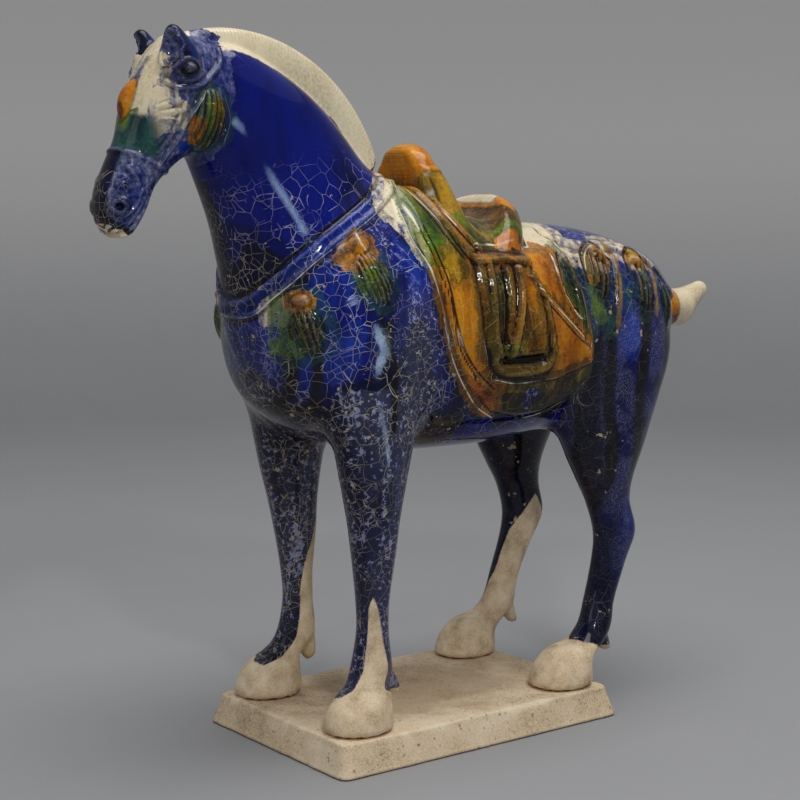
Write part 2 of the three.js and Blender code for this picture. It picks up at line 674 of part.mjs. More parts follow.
// Surface nets: a vertex for each sheet in each cell that the surface crosses, and a quad for each
// crossed grid edge
function surfaceNet(field, low, high, step) {
  const [nx, ny, nz] = low.map((v, i) => Math.ceil((high[i] - v) / step) + 1);
  const at = (i, j, k) => (i * ny + j) * nz + k;
  const values = new Float32Array(nx * ny * nz).fill(NaN);
  const sample = (i, j, k) => {
    const n = at(i, j, k);
    if (Number.isNaN(values[n])) {
      values[n] = field(low[0] + i * step, low[1] + j * step, low[2] + k * step);
    }
    return values[n];
  };
  const cells = new Map();
  const points = [];
  const visit = (i, j, k) => {
    const v = [];
    for (let c = 0; c < 8; c++) v.push(sample(i + (c & 1), j + ((c >> 1) & 1), k + (c >> 2)));
    const inside = v.map((value) => value < 0);
    if (inside.every((c) => c === inside[0])) return;
    const sheets = new Map();
    for (const [edge, name] of sheetsOf(inside)) {
      if (!sheets.has(name)) sheets.set(name, { edges: [], sum: [0, 0, 0] });
      const sheet = sheets.get(name);
      const p = edge >> 3;
      const q = p | (edge & 7);
      const s = v[p] / (v[p] - v[q]);
      for (let axis = 0; axis < 3; axis++) {
        const start = (p >> axis) & 1;
        sheet.sum[axis] += start + (((q >> axis) & 1) - start) * s;
      }
      sheet.edges.push(edge);
    }
    const vertexOn = new Map();
    for (const { edges, sum } of sheets.values()) {
      for (const edge of edges) vertexOn.set(edge, points.length);
      points.push([i, j, k].map((n, axis) => low[axis] + (n + sum[axis] / edges.length) * step));
    }
    cells.set(at(i, j, k), vertexOn);
  };
  const reach = BLOCK * step * BLOCK_REACH;
  for (let i = 0; i < nx - 1; i += BLOCK) {
    for (let j = 0; j < ny - 1; j += BLOCK) {
      for (let k = 0; k < nz - 1; k += BLOCK) {
        const centre = [i, j, k].map((n, axis) => low[axis] + (n + BLOCK / 2) * step);
        if (Math.abs(field(...centre)) > reach) continue;
        for (let a = i; a < Math.min(i + BLOCK, nx - 1); a++) {
          for (let b = j; b < Math.min(j + BLOCK, ny - 1); b++) {
            for (let c = k; c < Math.min(k + BLOCK, nz - 1); c++) visit(a, b, c);
          }
        }
      }
    }
  }
  const vertexAt = (i, j, k, edge) => {
    if (!cells.has(at(i, j, k))) visit(i, j, k);
    return cells.get(at(i, j, k)).get(edge);
  };
  const placeOf = (n) => [Math.floor(n / (nz * ny)), Math.floor(n / nz) % ny, n % nz];
  const corners = [[0, 0], [1, 0], [1, 1], [0, 1]];
  const faces = [];
  const facesFrom = (n) => {
    const place = placeOf(n);
    const here = sample(...place) < 0;
    for (let axis = 0; axis < 3; axis++) {
      const next = [...place];
      next[axis] += 1;
      if (here === sample(...next) < 0) continue;
      const u = (axis + 1) % 3;
      const w = (axis + 2) % 3;
      const quad = corners.map(([back, left]) => {
        const cell = [...place];
        cell[u] -= back;
        cell[w] -= left;
        return vertexAt(...cell, ((back << u) | (left << w)) * 8 + (1 << axis));
      });
      if (!here) quad.reverse();
      faces.push([quad[0], quad[1], quad[2]], [quad[0], quad[2], quad[3]]);
    }
  };
  for (const n of cells.keys()) facesFrom(n);
  // At a sharp bend the surface can enter a block that was passed over: its neighbours lead there
  const visitBeside = (n) => {
    for (let axis = 0; axis < 3; axis++) {
      for (const side of [0, 1]) {
        const shared = placeOf(n);
        shared[axis] += side;
        const beside = placeOf(n);
        beside[axis] += 2 * side - 1;
        if (cells.has(at(...beside))) continue;
        const inside = corners.map(([right, up]) => {
          const corner = [...shared];
          corner[(axis + 1) % 3] += right;
          corner[(axis + 2) % 3] += up;
          return sample(...corner) < 0;
        });
        if (inside.some((c) => c !== inside[0])) visit(...beside);
      }
    }
  };
  const known = cells.size;
  for (const n of cells.keys()) visitBeside(n);
  for (const n of [...cells.keys()].slice(known)) facesFrom(n);
  return { points, faces };
}

// Moves the points onto the surface, then out along its normal by the height of the relief
const PROBE = 0.1; // of the grid step, for the slope
const LONGEST_MOVE = 0.4; // of the grid step, in each pass
const PASSES = 2;
const LEAST_SLOPE = 0.2;
function settle(points, field, height, step) {
  const h = step * PROBE;
  const gradientAt = (p, d) =>
    [0, 1, 2].map((axis) => {
      const q = [...p];
      q[axis] += h;
      return (field(...q) - d) / h;
    });
  for (const p of points) {
    let g = [0, 0, 1];
    for (let pass = 0; pass < PASSES; pass++) {
      const d = field(...p);
      g = gradientAt(p, d);
      const g2 = g[0] * g[0] + g[1] * g[1] + g[2] * g[2];
      if (g2 < LEAST_SLOPE ** 2) break;
      const move = THREE.MathUtils.clamp(d / g2, -LONGEST_MOVE * step, LONGEST_MOVE * step);
      g.forEach((v, axis) => (p[axis] -= v * move));
    }
    const rise = height(...p) / Math.max(Math.hypot(...g), LEAST_SLOPE);
    g.forEach((v, axis) => (p[axis] += v * rise));
  }
}

// Quadric edge collapse: joins the cheapest edges first until the count of faces is reached
const EVEN = 4e-4; // weight that keeps edges even where the surface is flat
const HOLD = 1e-3; // weight that holds a joined point near the middle of its edge
const LEAST_TURN = 0.3; // least cosine between a face before and after a join
const LEAST_DETERMINANT = 1e-15;
const LEAST_AREA = 1e-12;
function simplify(points, faces, target) {
  const position = points.map((p) => [...p]);
  const quadric = points.map(() => new Float64Array(10));
  const around = points.map(() => new Set());
  const alive = faces.map(() => true);
  const stamp = new Int32Array(points.length);
  const normalOf = (a, b, c) => {
    const ux = b[0] - a[0];
    const uy = b[1] - a[1];
    const uz = b[2] - a[2];
    const vx = c[0] - a[0];
    const vy = c[1] - a[1];
    const vz = c[2] - a[2];
    return [uy * vz - uz * vy, uz * vx - ux * vz, ux * vy - uy * vx];
  };
  faces.forEach((f, index) => {
    const n = normalOf(...f.map((v) => position[v]));
    const area = Math.hypot(...n);
    for (const v of f) around[v].add(index);
    if (area < LEAST_AREA) return;
    const [a, b, c] = n.map((v) => v / area);
    const p = position[f[0]];
    const d = -(a * p[0] + b * p[1] + c * p[2]);
    const terms = [a * a, a * b, a * c, a * d, b * b, b * c, b * d, c * c, c * d, d * d];
    for (const v of f) terms.forEach((term, k) => (quadric[v][k] += term * area));
  });
  const errorAt = (q, [x, y, z]) =>
    q[0] * x * x + 2 * q[1] * x * y + 2 * q[2] * x * z + 2 * q[3] * x + q[4] * y * y +
    2 * q[5] * y * z + 2 * q[6] * y + q[7] * z * z + 2 * q[8] * z + q[9];
  const bestPoint = (q, p, r) => {
    const middle = p.map((v, k) => (v + r[k]) / 2);
    const hold = HOLD * (q[0] + q[4] + q[7]);
    const m = new THREE.Matrix3();
    m.set(q[0] + hold, q[1], q[2], q[1], q[4] + hold, q[5], q[2], q[5], q[7] + hold);
    if (Math.abs(m.determinant()) < LEAST_DETERMINANT) return middle;
    const right = new THREE.Vector3(
      hold * middle[0] - q[3],
      hold * middle[1] - q[6],
      hold * middle[2] - q[8],
    );
    return right.applyMatrix3(m.invert()).toArray();
  };
  const heap = [];
  const push = (entry) => {
    let i = heap.push(entry) - 1;
    while (i > 0) {
      const up = (i - 1) >> 1;
      if (heap[up].cost <= heap[i].cost) break;
      [heap[up], heap[i]] = [heap[i], heap[up]];
      i = up;
    }
  };
  const pop = () => {
    const first = heap[0];
    const last = heap.pop();
    if (heap.length > 0) {
      heap[0] = last;
      let i = 0;
      for (;;) {
        let low = i;
        for (const child of [2 * i + 1, 2 * i + 2]) {
          if (child < heap.length && heap[child].cost < heap[low].cost) low = child;
        }
        if (low === i) break;
        [heap[low], heap[i]] = [heap[i], heap[low]];
        i = low;
      }
    }
    return first;
  };
  const offer = (a, b) => {
    const q = quadric[a].map((v, k) => v + quadric[b][k]);
    const place = bestPoint(q, position[a], position[b]);
    const length2 = position[a].reduce((sum, v, k) => sum + (v - position[b][k]) ** 2, 0);
    const cost = errorAt(q, place) + EVEN * length2 * length2;
    push({ cost, a, b, place, whenA: stamp[a], whenB: stamp[b] });
  };
  const neighbours = (v) => {
    const set = new Set();
    for (const f of around[v]) for (const u of faces[f]) if (u !== v) set.add(u);
    return set;
  };
  for (const [index, f] of faces.entries()) {
    for (let k = 0; k < 3; k++) {
      if (alive[index] && f[k] < f[(k + 1) % 3]) offer(f[k], f[(k + 1) % 3]);
    }
  }
  const turns = (v, other, place) => {
    for (const f of around[v]) {
      if (faces[f].includes(other)) continue;
      const before = normalOf(...faces[f].map((u) => position[u]));
      const after = normalOf(...faces[f].map((u) => (u === v ? place : position[u])));
      const dot = before[0] * after[0] + before[1] * after[1] + before[2] * after[2];
      if (dot < LEAST_TURN * Math.hypot(...before) * Math.hypot(...after)) return true;
    }
    return false;
  };
  let count = faces.length;
  while (count > target && heap.length > 0) {
    const { a, b, place, whenA, whenB } = pop();
    if (stamp[a] !== whenA || stamp[b] !== whenB) continue;
    const ringA = neighbours(a);
    const ringB = neighbours(b);
    if (!ringA.has(b)) continue;
    if ([...ringA].filter((v) => ringB.has(v)).length !== 2) continue;
    if (turns(a, b, place) || turns(b, a, place)) continue;
    for (const f of [...around[b]]) {
      if (faces[f].includes(a)) {
        alive[f] = false;
        count--;
        for (const v of faces[f]) around[v].delete(f);
      } else {
        faces[f][faces[f].indexOf(b)] = a;
        around[a].add(f);
      }
    }
    quadric[a] = quadric[a].map((v, k) => v + quadric[b][k]);
    position[a] = place;
    stamp[b] = -1;
    stamp[a] += 1;
    for (const v of neighbours(a)) offer(a, v);
  }
  return { points: position, faces: faces.filter((f, index) => alive[index]) };
}

function solidOf(points, faces) {
  const mesh = new wasm.Mesh({
    numProp: 3,
    vertProperties: new Float32Array(points.flat()),
    triVerts: new Uint32Array(faces.flat()),
  });
  return new wasm.Manifold(mesh);
}

function solidFromGeometry(geometry) {
  const bare = geometry.clone();
  bare.deleteAttribute("normal");
  bare.deleteAttribute("uv");
  const merged = mergeVertices(bare);
  const mesh = new wasm.Mesh({
    numProp: 3,
    vertProperties: merged.attributes.position.array,
    triVerts: new Uint32Array(merged.index.array),
  });
  return new wasm.Manifold(mesh);
}

function geometryOf(solid) {
  const mesh = solid.getMesh();
  const geometry = new THREE.BufferGeometry();
  geometry.setAttribute("position", new THREE.BufferAttribute(new Float32Array(mesh.vertProperties), 3));
  geometry.setIndex(new THREE.BufferAttribute(new Uint32Array(mesh.triVerts), 1));
  return geometry;
}

// The figure, with the soles cut flat at the foot of the figure
const GRID_MARGIN = 2;
function horseGeometry() {
  const low = [0, 1, 2].map((axis) => Math.min(...JOINED.map(([form]) => form.low[axis])) - GRID_MARGIN);
  const high = [0, 1, 2].map((axis) => Math.max(...JOINED.map(([form]) => form.high[axis])) + GRID_MARGIN);
  const net = surfaceNet(body, low, high, GRID_STEP / UNIT);
  settle(net.points, body, relief, GRID_STEP / UNIT);
  const light = simplify(net.points, net.faces, FIGURE_TRIANGLES);
  const whole = solidOf(light.points.map((p) => p.map((v) => v * UNIT)), light.faces);
  const ground = new THREE.BoxGeometry(FIGURE_HEIGHT, FIGURE_HEIGHT, FIGURE_HEIGHT);
  ground.translate(0, 0, -FIGURE_HEIGHT / 2);
  return geometryOf(whole.subtract(solidFromGeometry(ground)));
}

// A rectangle with round corners, as points in order
function roundedRectangle(width, length, radius) {
  const points = [];
  for (let quarter = 0; quarter < 4; quarter++) {
    const cx = (quarter === 0 || quarter === 3 ? 1 : -1) * (width / 2 - radius);
    const cy = (quarter < 2 ? 1 : -1) * (length / 2 - radius);
    for (let i = 0; i <= CORNER_STEPS; i++) {
      const angle = ((quarter + i / CORNER_STEPS) * Math.PI) / 2;
      points.push([cx + radius * Math.cos(angle), cy + radius * Math.sin(angle)]);
    }
  }
  return points;
}

// The plinth: sides that lean in, a rounded upper edge and flat faces above and below. Its upper edge
// clears the hooves that reach furthest.
function plinthGeometry() {
  const reachX = Math.max(-hooves.low[0], hooves.high[0]) * UNIT;
  const reachY = Math.max(-hooves.low[1], hooves.high[1]) * UNIT;
  const width = 2 * (reachX + ROOM_AT_SIDES + PLINTH_SLOPE);
  const length = 2 * (reachY + ROOM_AT_ENDS + PLINTH_SLOPE);
  const rings = [[0, 0]];
  for (let i = 0; i <= EDGE_STEPS; i++) {
    const angle = ((i / EDGE_STEPS) * Math.PI) / 2;
    const inset = PLINTH_SLOPE + PLINTH_EDGE * (1 - Math.cos(angle));
    rings.push([inset, PLINTH_HEIGHT - PLINTH_EDGE * (1 - Math.sin(angle))]);
  }
  const points = [];
  for (const [inset, z] of rings) {
    const outline = roundedRectangle(width - 2 * inset, length - 2 * inset, PLINTH_CORNER);
    for (const [x, y] of outline) points.push([x, y, z]);
  }
  const around = 4 * (CORNER_STEPS + 1);
  const faces = [];
  for (let ring = 0; ring + 1 < rings.length; ring++) {
    for (let i = 0; i < around; i++) {
      const a = ring * around + i;
      const b = ring * around + ((i + 1) % around);
      faces.push([a, b, b + around], [a, b + around, a + around]);
    }
  }
  const top = points.length;
  points.push([0, 0, 0], [0, 0, PLINTH_HEIGHT]);
  for (let i = 0; i < around; i++) {
    const next = (i + 1) % around;
    faces.push([next, i, top], [top - around + i, top - around + next, top + 1]);
  }
  return geometryOf(solidOf(points, faces));
}

const glaze = new THREE.MeshStandardMaterial({ color: 0x16207e, roughness: 0.15, metalness: 0 });
const clay = new THREE.MeshStandardMaterial({ color: 0xd9c3a0, roughness: 0.9, metalness: 0 });

const horse = new THREE.Mesh(horseGeometry(), glaze);
horse.name = "horse";
horse.position.z = PLINTH_HEIGHT + SEAT_GAP;

const plinth = new THREE.Mesh(plinthGeometry(), clay);
plinth.name = "plinth";

const tombHorse = new THREE.Group();
tombHorse.add(plinth, horse);

export default tombHorse;
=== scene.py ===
"""A glazed earthenware tomb horse on its slab plinth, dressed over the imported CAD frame.

The horse is one smooth form, joined from lofted sections, rods and ellipsoids as in the solids.
Its surface is meshed finely, the harness, saddlery and face are raised on it, and each colour of
glaze is kept on the mesh as an attribute: the distance inside its edge, in millimetres.
"""
import functools
import math

import bmesh
import bpy
import numpy as np
from bpy.props import FloatProperty, FloatVectorProperty
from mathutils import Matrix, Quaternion, Vector


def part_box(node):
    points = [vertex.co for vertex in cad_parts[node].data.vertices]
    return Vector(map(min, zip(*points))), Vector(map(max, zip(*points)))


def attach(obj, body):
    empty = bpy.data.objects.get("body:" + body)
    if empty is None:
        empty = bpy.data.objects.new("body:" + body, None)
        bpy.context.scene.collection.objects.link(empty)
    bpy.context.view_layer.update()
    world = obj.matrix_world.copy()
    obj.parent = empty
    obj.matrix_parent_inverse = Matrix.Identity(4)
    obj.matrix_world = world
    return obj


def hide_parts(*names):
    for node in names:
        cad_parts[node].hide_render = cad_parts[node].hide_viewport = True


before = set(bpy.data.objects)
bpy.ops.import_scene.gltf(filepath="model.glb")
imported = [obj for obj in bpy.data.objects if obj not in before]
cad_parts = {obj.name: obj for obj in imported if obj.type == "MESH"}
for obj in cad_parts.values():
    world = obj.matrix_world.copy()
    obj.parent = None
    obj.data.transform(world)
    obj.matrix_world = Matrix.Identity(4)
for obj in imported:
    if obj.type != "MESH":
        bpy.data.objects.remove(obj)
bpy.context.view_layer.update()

bl_info = {
    "name": "Tomb horse",
    "version": (1, 0, 0),
    "blender": (4, 5, 0),
    "location": "View3D > Sidebar > Tomb horse",
    "description": "Builds a glazed pottery tomb horse on a clay plinth",
    "category": "Add Mesh",
}

HORSE_LOW, HORSE_HIGH = (np.array(corner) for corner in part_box("horse"))
PLINTH_LOW, PLINTH_HIGH = (np.array(corner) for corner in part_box("plinth"))

# Everything on the figure is in figure units, hundredths of its height, measured from the plinth's top
TINY = 1e-6
LEAST_CORE = 0.05

# Sections along the trunk: y, centre z, half width, half height
TRUNK = {
    "round": 4,
    "power": 2.2,
    "rows": [
        (-30.8, 57.0, 6.0, 7.0),
        (-28.0, 57.0, 11.0, 10.8),
        (-22.0, 57.5, 14.8, 15.5),
        (-14.0, 58.5, 16.3, 19.0),
        (-6.0, 58.5, 16.5, 20.0),
        (2.0, 56.5, 16.6, 18.3),
        (12.0, 55.3, 17.0, 16.9),
        (22.0, 56.2, 16.8, 16.5),
        (32.0, 57.0, 15.8, 14.6),
        (39.0, 57.1, 13.8, 12.8),
        (44.5, 57.3, 10.6, 11.0),
        (48.0, 57.6, 8.0, 8.4),
        (51.0, 58.0, 4.5, 5.0),
    ],
}
# Sections up the neck: z, centre y, half width, half depth
NECK = {
    "round": 1.5,
    "power": 2.1,
    "rows": [
        (46.0, -12.5, 7.0, 8.0),
        (52.0, -13.8, 11.0, 12.6),
        (59.0, -15.8, 13.4, 15.0),
        (66.0, -19.2, 12.3, 13.8),
        (73.0, -22.1, 10.5, 13.0),
        (80.0, -24.5, 8.6, 13.8),
        (86.0, -28.1, 7.2, 13.0),
        (91.0, -31.0, 5.9, 10.5),
        (95.0, -34.0, 4.4, 7.0),
        (97.5, -36.0, 2.8, 4.0),
    ],
}
# Sections from the poll to the lips: distance along the head, centre towards the face, half width,
# half depth
POLL = (-40.5, 96.5)
LIPS = (-50.6, 71.8)
HEAD = {
    "round": 1.5,
    "power": 2.3,
    "rows": [
        (-1.5, 0.0, 3.5, 3.0),
        (3.0, -1.0, 5.2, 5.5),
        (7.0, -1.3, 6.0, 6.5),
        (11.0, -0.8, 5.4, 6.0),
        (15.0, 0.2, 4.2, 4.5),
        (19.0, 1.2, 3.8, 3.7),
        (23.0, 1.3, 4.0, 3.5),
        (26.0, 0.9, 3.2, 2.5),
        (27.6, 0.5, 1.8, 1.4),
    ],
}
# Sections up a left leg: z, centre y, half width, half depth, centre x
FORELEG = {
    "round": 1,
    "power": 2,
    "rows": [
        (2.0, -19.8, 3.2, 3.6, 12.0),
        (4.0, -19.4, 3.2, 3.6, 12.0),
        (6.5, -18.2, 2.8, 3.0, 11.8),
        (9.0, -17.0, 2.7, 3.1, 11.5),
        (14.2, -16.7, 2.35, 2.4, 11.5),
        (18.7, -16.7, 2.5, 2.5, 11.5),
        (22.3, -16.6, 2.9, 2.9, 11.5),
        (26.0, -16.5, 3.3, 3.4, 11.5),
        (30.4, -16.5, 3.7, 4.0, 11.5),
        (36.0, -16.4, 4.4, 5.1, 11.4),
        (42.0, -16.2, 5.2, 6.3, 11.0),
        (49.0, -16.5, 5.8, 7.6, 9.6),
        (57.0, -16.5, 3.5, 4.5, 7.5),
    ],
}
HINDLEG = {
    "round": 1,
    "power": 2,
    "rows": [
        (1.5, 19.5, 3.2, 3.4, 12.0),
        (3.5, 21.5, 3.2, 3.4, 12.0),
        (6.0, 25.0, 2.9, 3.3, 11.8),
        (8.5, 27.5, 2.6, 2.9, 11.5),
        (12.0, 28.7, 2.4, 2.6, 11.2),
        (18.4, 31.0, 2.6, 3.0, 11.0),
        (23.0, 32.2, 2.9, 3.8, 11.0),
        (28.3, 30.6, 3.1, 4.0, 11.0),
        (32.0, 29.8, 4.0, 5.1, 11.0),
        (38.0, 29.8, 5.2, 7.8, 10.8),
        (45.0, 31.5, 6.2, 8.7, 10.2),
        (53.0, 33.1, 6.8, 8.5, 8.8),
        (60.0, 33.2, 4.0, 6.0, 7.0),
    ],
}
# How far the right legs stand behind the left ones: z, distance
RIGHT_FORELEG_BACK = [(4.0, 0.0), (8.0, 1.9), (14.0, 2.3), (20.0, 2.1), (28.0, 1.5), (36.0, 0.8), (44.0, 0.2)]
RIGHT_HINDLEG_BACK = [
    (4.0, 0.0), (8.0, -0.7), (14.0, -1.2), (20.0, -0.8), (28.0, 0.0), (36.0, -0.3), (44.0, 0.0),
]
# Sections up a hoof: z, how far its centre has moved back, half width, half depth
HOOF = {
    "round": 0.8,
    "power": 2.1,
    "rows": [
        (-1.0, 0.0, 4.4, 5.1),
        (0.8, 0.0, 4.6, 5.3),
        (3.0, 0.3, 4.3, 4.9),
        (5.0, 1.1, 3.5, 4.0),
        (6.2, 1.9, 2.4, 2.9),
    ],
}
FORE_HOOF = (12, -19.6)
HIND_HOOF = (12, 20.0)
HAUNCH = {"centre": (8.4, 33.3, 55), "half": (7.8, 8.7, 13)}
# An ear is a leaning leaf, with a hollow scooped out of its front. Sections: height, centre y, half
# width, half depth
EAR = {
    "centre": (4.4, -43.1, 94.2), "half": (2.6, 2.9, 5.1), "lean": 18, "round": 0.5, "power": 2,
    "rows": [
        (-4.0, 0.0, 1.8, 2.0), (-2.0, 0.0, 2.4, 2.6), (0.0, 0.0, 2.6, 2.9), (2.0, 0.0, 2.2, 2.5),
        (3.6, 0.1, 1.5, 1.7), (4.7, 0.2, 0.95, 1.0), (5.3, 0.2, 0.55, 0.55),
    ],
}
EAR_HOLLOW = {"centre": (5.0, -45.1, 96.0), "half": (1.5, 1.7, 2.6), "lean": 18}
# Rods: the two ends of the axis and the radius at each
FORE_TUFT = {"from": (11.5, -16.0, 9.0), "to": (11.5, -12.8, 5.2), "start": 1.8, "end": 0.9}
HIND_TUFT = {"from": (11.5, 27.6, 8.4), "to": (11.5, 30.0, 4.6), "start": 1.8, "end": 0.9}
TAIL_ROOT = {"from": (0, 49, 58.2), "to": (0, 57.3, 57.9), "start": 3.8, "end": 3.0}
TAIL_TIP = {"from": (0, 57.3, 57.9), "to": (0, 62.7, 60.8), "start": 3.0, "end": 1.5}
# The hogged mane: a crest along an arc about (y, z), sunk into the neck
MANE = {
    "y": -33, "z": 73, "outer": 26.9, "depth": 9, "half": 1.6, "from": 12, "to": 114, "fade": 9,
    "least": 0.4, "power": 2.6,
}
# The saddle's arches: foot and top (y, z), half thickness, and half width by height along the lean
POMMEL = {
    "foot": (2.2, 62),
    "top": (-2.3, 84.6),
    "thick": 1.9,
    "widths": [
        (0.0, 15.3), (4.0, 14.0), (8.0, 12.0), (13.5, 8.8), (17.5, 6.6), (20.5, 4.8), (22.2, 3.2),
        (23.1, 1.6),
    ],
}
CANTLE = {
    "foot": (4.1, 62),
    "top": (14.8, 76.6),
    "thick": 1.9,
    "widths": [(0.0, 15.3), (5.0, 14.0), (9.5, 12.0), (13.0, 9.6), (15.6, 7.0), (17.2, 4.6), (18.1, 2.4)],
}
ARCH_ROUND = 1.5
SEAT = {"centre": (0, 5.5, 62), "half": (13.8, 10, 12.4)}


def least(*values):
    """Smallest of several values at each point."""
    return functools.reduce(np.minimum, values)


def smooth(t):
    c = np.clip(t, 0, 1)
    return c * c * (3 - 2 * c)


def section_at(rows, t):
    """Smooth table lookup: cubic through the rows, flat beyond the ends. One array for each column."""
    table = np.asarray(rows, float)
    places = table[:, 0]
    values = table[:, 1:]
    slopes = np.empty_like(values)
    slopes[1:-1] = (values[2:] - values[:-2]) / (places[2:] - places[:-2])[:, None]
    slopes[0] = (values[1] - values[0]) / (places[1] - places[0])
    slopes[-1] = (values[-1] - values[-2]) / (places[-1] - places[-2])
    t = np.clip(t, places[0], places[-1])
    i = np.clip(np.searchsorted(places, t, side="right") - 1, 0, len(places) - 2)
    span = places[i + 1] - places[i]
    s = (t - places[i]) / span
    s, span = s[..., None], span[..., None]
    row = (
        values[i] * (2 * s**3 - 3 * s**2 + 1)
        + slopes[i] * span * (s**3 - 2 * s**2 + s)
        + values[i + 1] * (3 * s**2 - 2 * s**3)
        + slopes[i + 1] * span * (s**3 - s**2)
    )
    return np.moveaxis(row, -1, 0)


def loft(t, first, last, a, b, half_a, half_b, roundness, power):
    """Distance to a body with a superellipse section between first and last, with rounded ends."""
    inner_a = np.maximum(half_a - roundness, LEAST_CORE)
    inner_b = np.maximum(half_b - roundness, LEAST_CORE)
    share_a = np.maximum(np.abs(a) / inner_a, TINY)
    share_b = np.maximum(np.abs(b) / inner_b, TINY)
    r = (share_a**power + share_b**power) ** (1 / power)
    slope = r ** (1 - power) * np.hypot(share_a ** (power - 1) / inner_a, share_b ** (power - 1) / inner_b)
    side = (r - 1) / slope
    end = np.maximum(first + roundness - t, t - last + roundness)
    outside = np.hypot(np.maximum(side, 0), np.maximum(end, 0))
    return outside + np.minimum(np.maximum(side, end), 0) - roundness


def lofted(form, t, x, v):
    rows = form["rows"]
    centre, half_width, half_depth, *out = section_at(rows, t)
    if out:
        x = x - out[0]
    first, last = rows[0][0], rows[-1][0]
    return loft(t, first, last, x, v - centre, half_width, half_depth, form["round"], form["power"])


def ellipsoid(form, x, y, z):
    out = [v - c for v, c in zip((x, y, z), form["centre"])]
    share = np.sqrt(sum((v / h) ** 2 for v, h in zip(out, form["half"])))
    slope = np.sqrt(sum((v / h**2) ** 2 for v, h in zip(out, form["half"])))
    return share * (share - 1) / np.maximum(slope, TINY)


def upright(form, x, y, z):
    """A place in the frame of a form whose length leans forwards by so many degrees."""
    c = math.cos(math.radians(form["lean"]))
    n = math.sin(math.radians(form["lean"]))
    dx, dy, dz = (v - middle for v, middle in zip((np.abs(x), y, z), form["centre"]))
    return dx, dy * c + dz * n, dz * c - dy * n


def ear_hollow(x, y, z):
    place = [v + middle for v, middle in zip(upright(EAR_HOLLOW, x, y, z), EAR_HOLLOW["centre"])]
    return ellipsoid(EAR_HOLLOW, *place)


def ear_distance(x, y, z):
    dx, dy, height = upright(EAR, x, y, z)
    return np.maximum(lofted(EAR, height, dx, dy), -ear_hollow(x, y, z))


def rod(form, x, y, z):
    """Distance to a rod with round ends."""
    start = np.array(form["from"], float)
    axis = np.array(form["to"], float) - start
    out = [x - start[0], y - start[1], z - start[2]]
    along = sum(v * a for v, a in zip(out, axis)) / (axis @ axis)
    s = np.clip(along, 0, 1)
    away = np.sqrt(sum((v - a * s) ** 2 for v, a in zip(out, axis)))
    return away - (form["start"] + (form["end"] - form["start"]) * s)


def blend(a, b, k):
    """Union of two distances with a fillet of about k."""
    h = np.maximum(k - np.abs(a - b), 0) / k
    return np.minimum(a, b) - h * h * k * 0.25


# A form is only worked out near its corners' box, and is the plain distance to that box further off
NEAR = 7


class Form:
    def __init__(self, corners, distance):
        corners = np.array(corners, float)
        self.low = corners.min(0)
        self.high = corners.max(0)
        self.distance = distance

    def at(self, points):
        past = np.maximum(np.maximum(self.low - points, points - self.high), 0)
        result = np.sqrt((past**2).sum(1))
        near = result <= NEAR
        if near.any():
            result[near] = self.distance(*points[near].T)
        return result


def both_sides(corners):
    return [(side * x, y, z) for x, y, z in corners for side in (1, -1)]


def rod_corners(form):
    return [[v + s * form["start"] for v in form[end]] for end in ("from", "to") for s in (-1, 1)]


def upright_corners(form, x0=0, y0=0):
    corners = []
    for z, y, half_width, half_depth, *x in form["rows"]:
        corners += [(x0 + (x[0] if x else 0) + half_width, y0 + y + s * half_depth, z) for s in (-1, 1)]
    return corners


HEAD_LENGTH = math.hypot(LIPS[0] - POLL[0], LIPS[1] - POLL[1])
HEAD_AXIS = [(LIPS[k] - POLL[k]) / HEAD_LENGTH for k in range(2)]


def head_frame(y, z):
    """Distance along the head's axis from the poll, and distance out towards the face."""
    dy = y - POLL[0]
    dz = z - POLL[1]
    return dy * HEAD_AXIS[0] + dz * HEAD_AXIS[1], dy * HEAD_AXIS[1] - dz * HEAD_AXIS[0]


def from_head_frame(x, along, face):
    dy, dz = HEAD_AXIS
    return x, POLL[0] + along * dy + face * dz, POLL[1] + along * dz - face * dy


def head_distance(x, y, z):
    along, face = head_frame(y, z)
    return lofted(HEAD, along, x, face)


def back_of(table, x, z):
    return np.where(x < 0, section_at(table, z)[0], 0)


def foreleg_distance(x, y, z):
    return lofted(FORELEG, z, np.abs(x), y - back_of(RIGHT_FORELEG_BACK, x, z))


def hindleg_distance(x, y, z):
    return lofted(HINDLEG, z, np.abs(x), y - back_of(RIGHT_HINDLEG_BACK, x, z))


def hoof_distance(x, y, z):
    fore, hind = (lofted(HOOF, z, np.abs(x) - x0, y - y0) for x0, y0 in (FORE_HOOF, HIND_HOOF))
    return np.minimum(fore, hind)


def tuft_distance(x, y, z):
    fore = rod(FORE_TUFT, np.abs(x), y - back_of(RIGHT_FORELEG_BACK, x, z), z)
    return np.minimum(fore, rod(HIND_TUFT, np.abs(x), y, z))


def mane_distance(x, y, z):
    """Worked out in the turned frame of the nearest point on the mane's arc."""
    angle = np.degrees(np.arctan2(z - MANE["z"], y - MANE["y"]))
    along = np.clip(angle, MANE["from"], MANE["to"])
    from_end = np.minimum(along - MANE["from"], MANE["to"] - along)
    height = (MANE["least"] + (1 - MANE["least"]) * smooth(from_end / MANE["fade"])) * MANE["depth"]
    radius = MANE["outer"] - MANE["depth"] / 2
    turn = np.radians(along)
    off = np.hypot(y - MANE["y"] - radius * np.cos(turn), z - MANE["z"] - radius * np.sin(turn))
    return loft(0, -1, 1, x, off, MANE["half"], height / 2, TINY, MANE["power"])


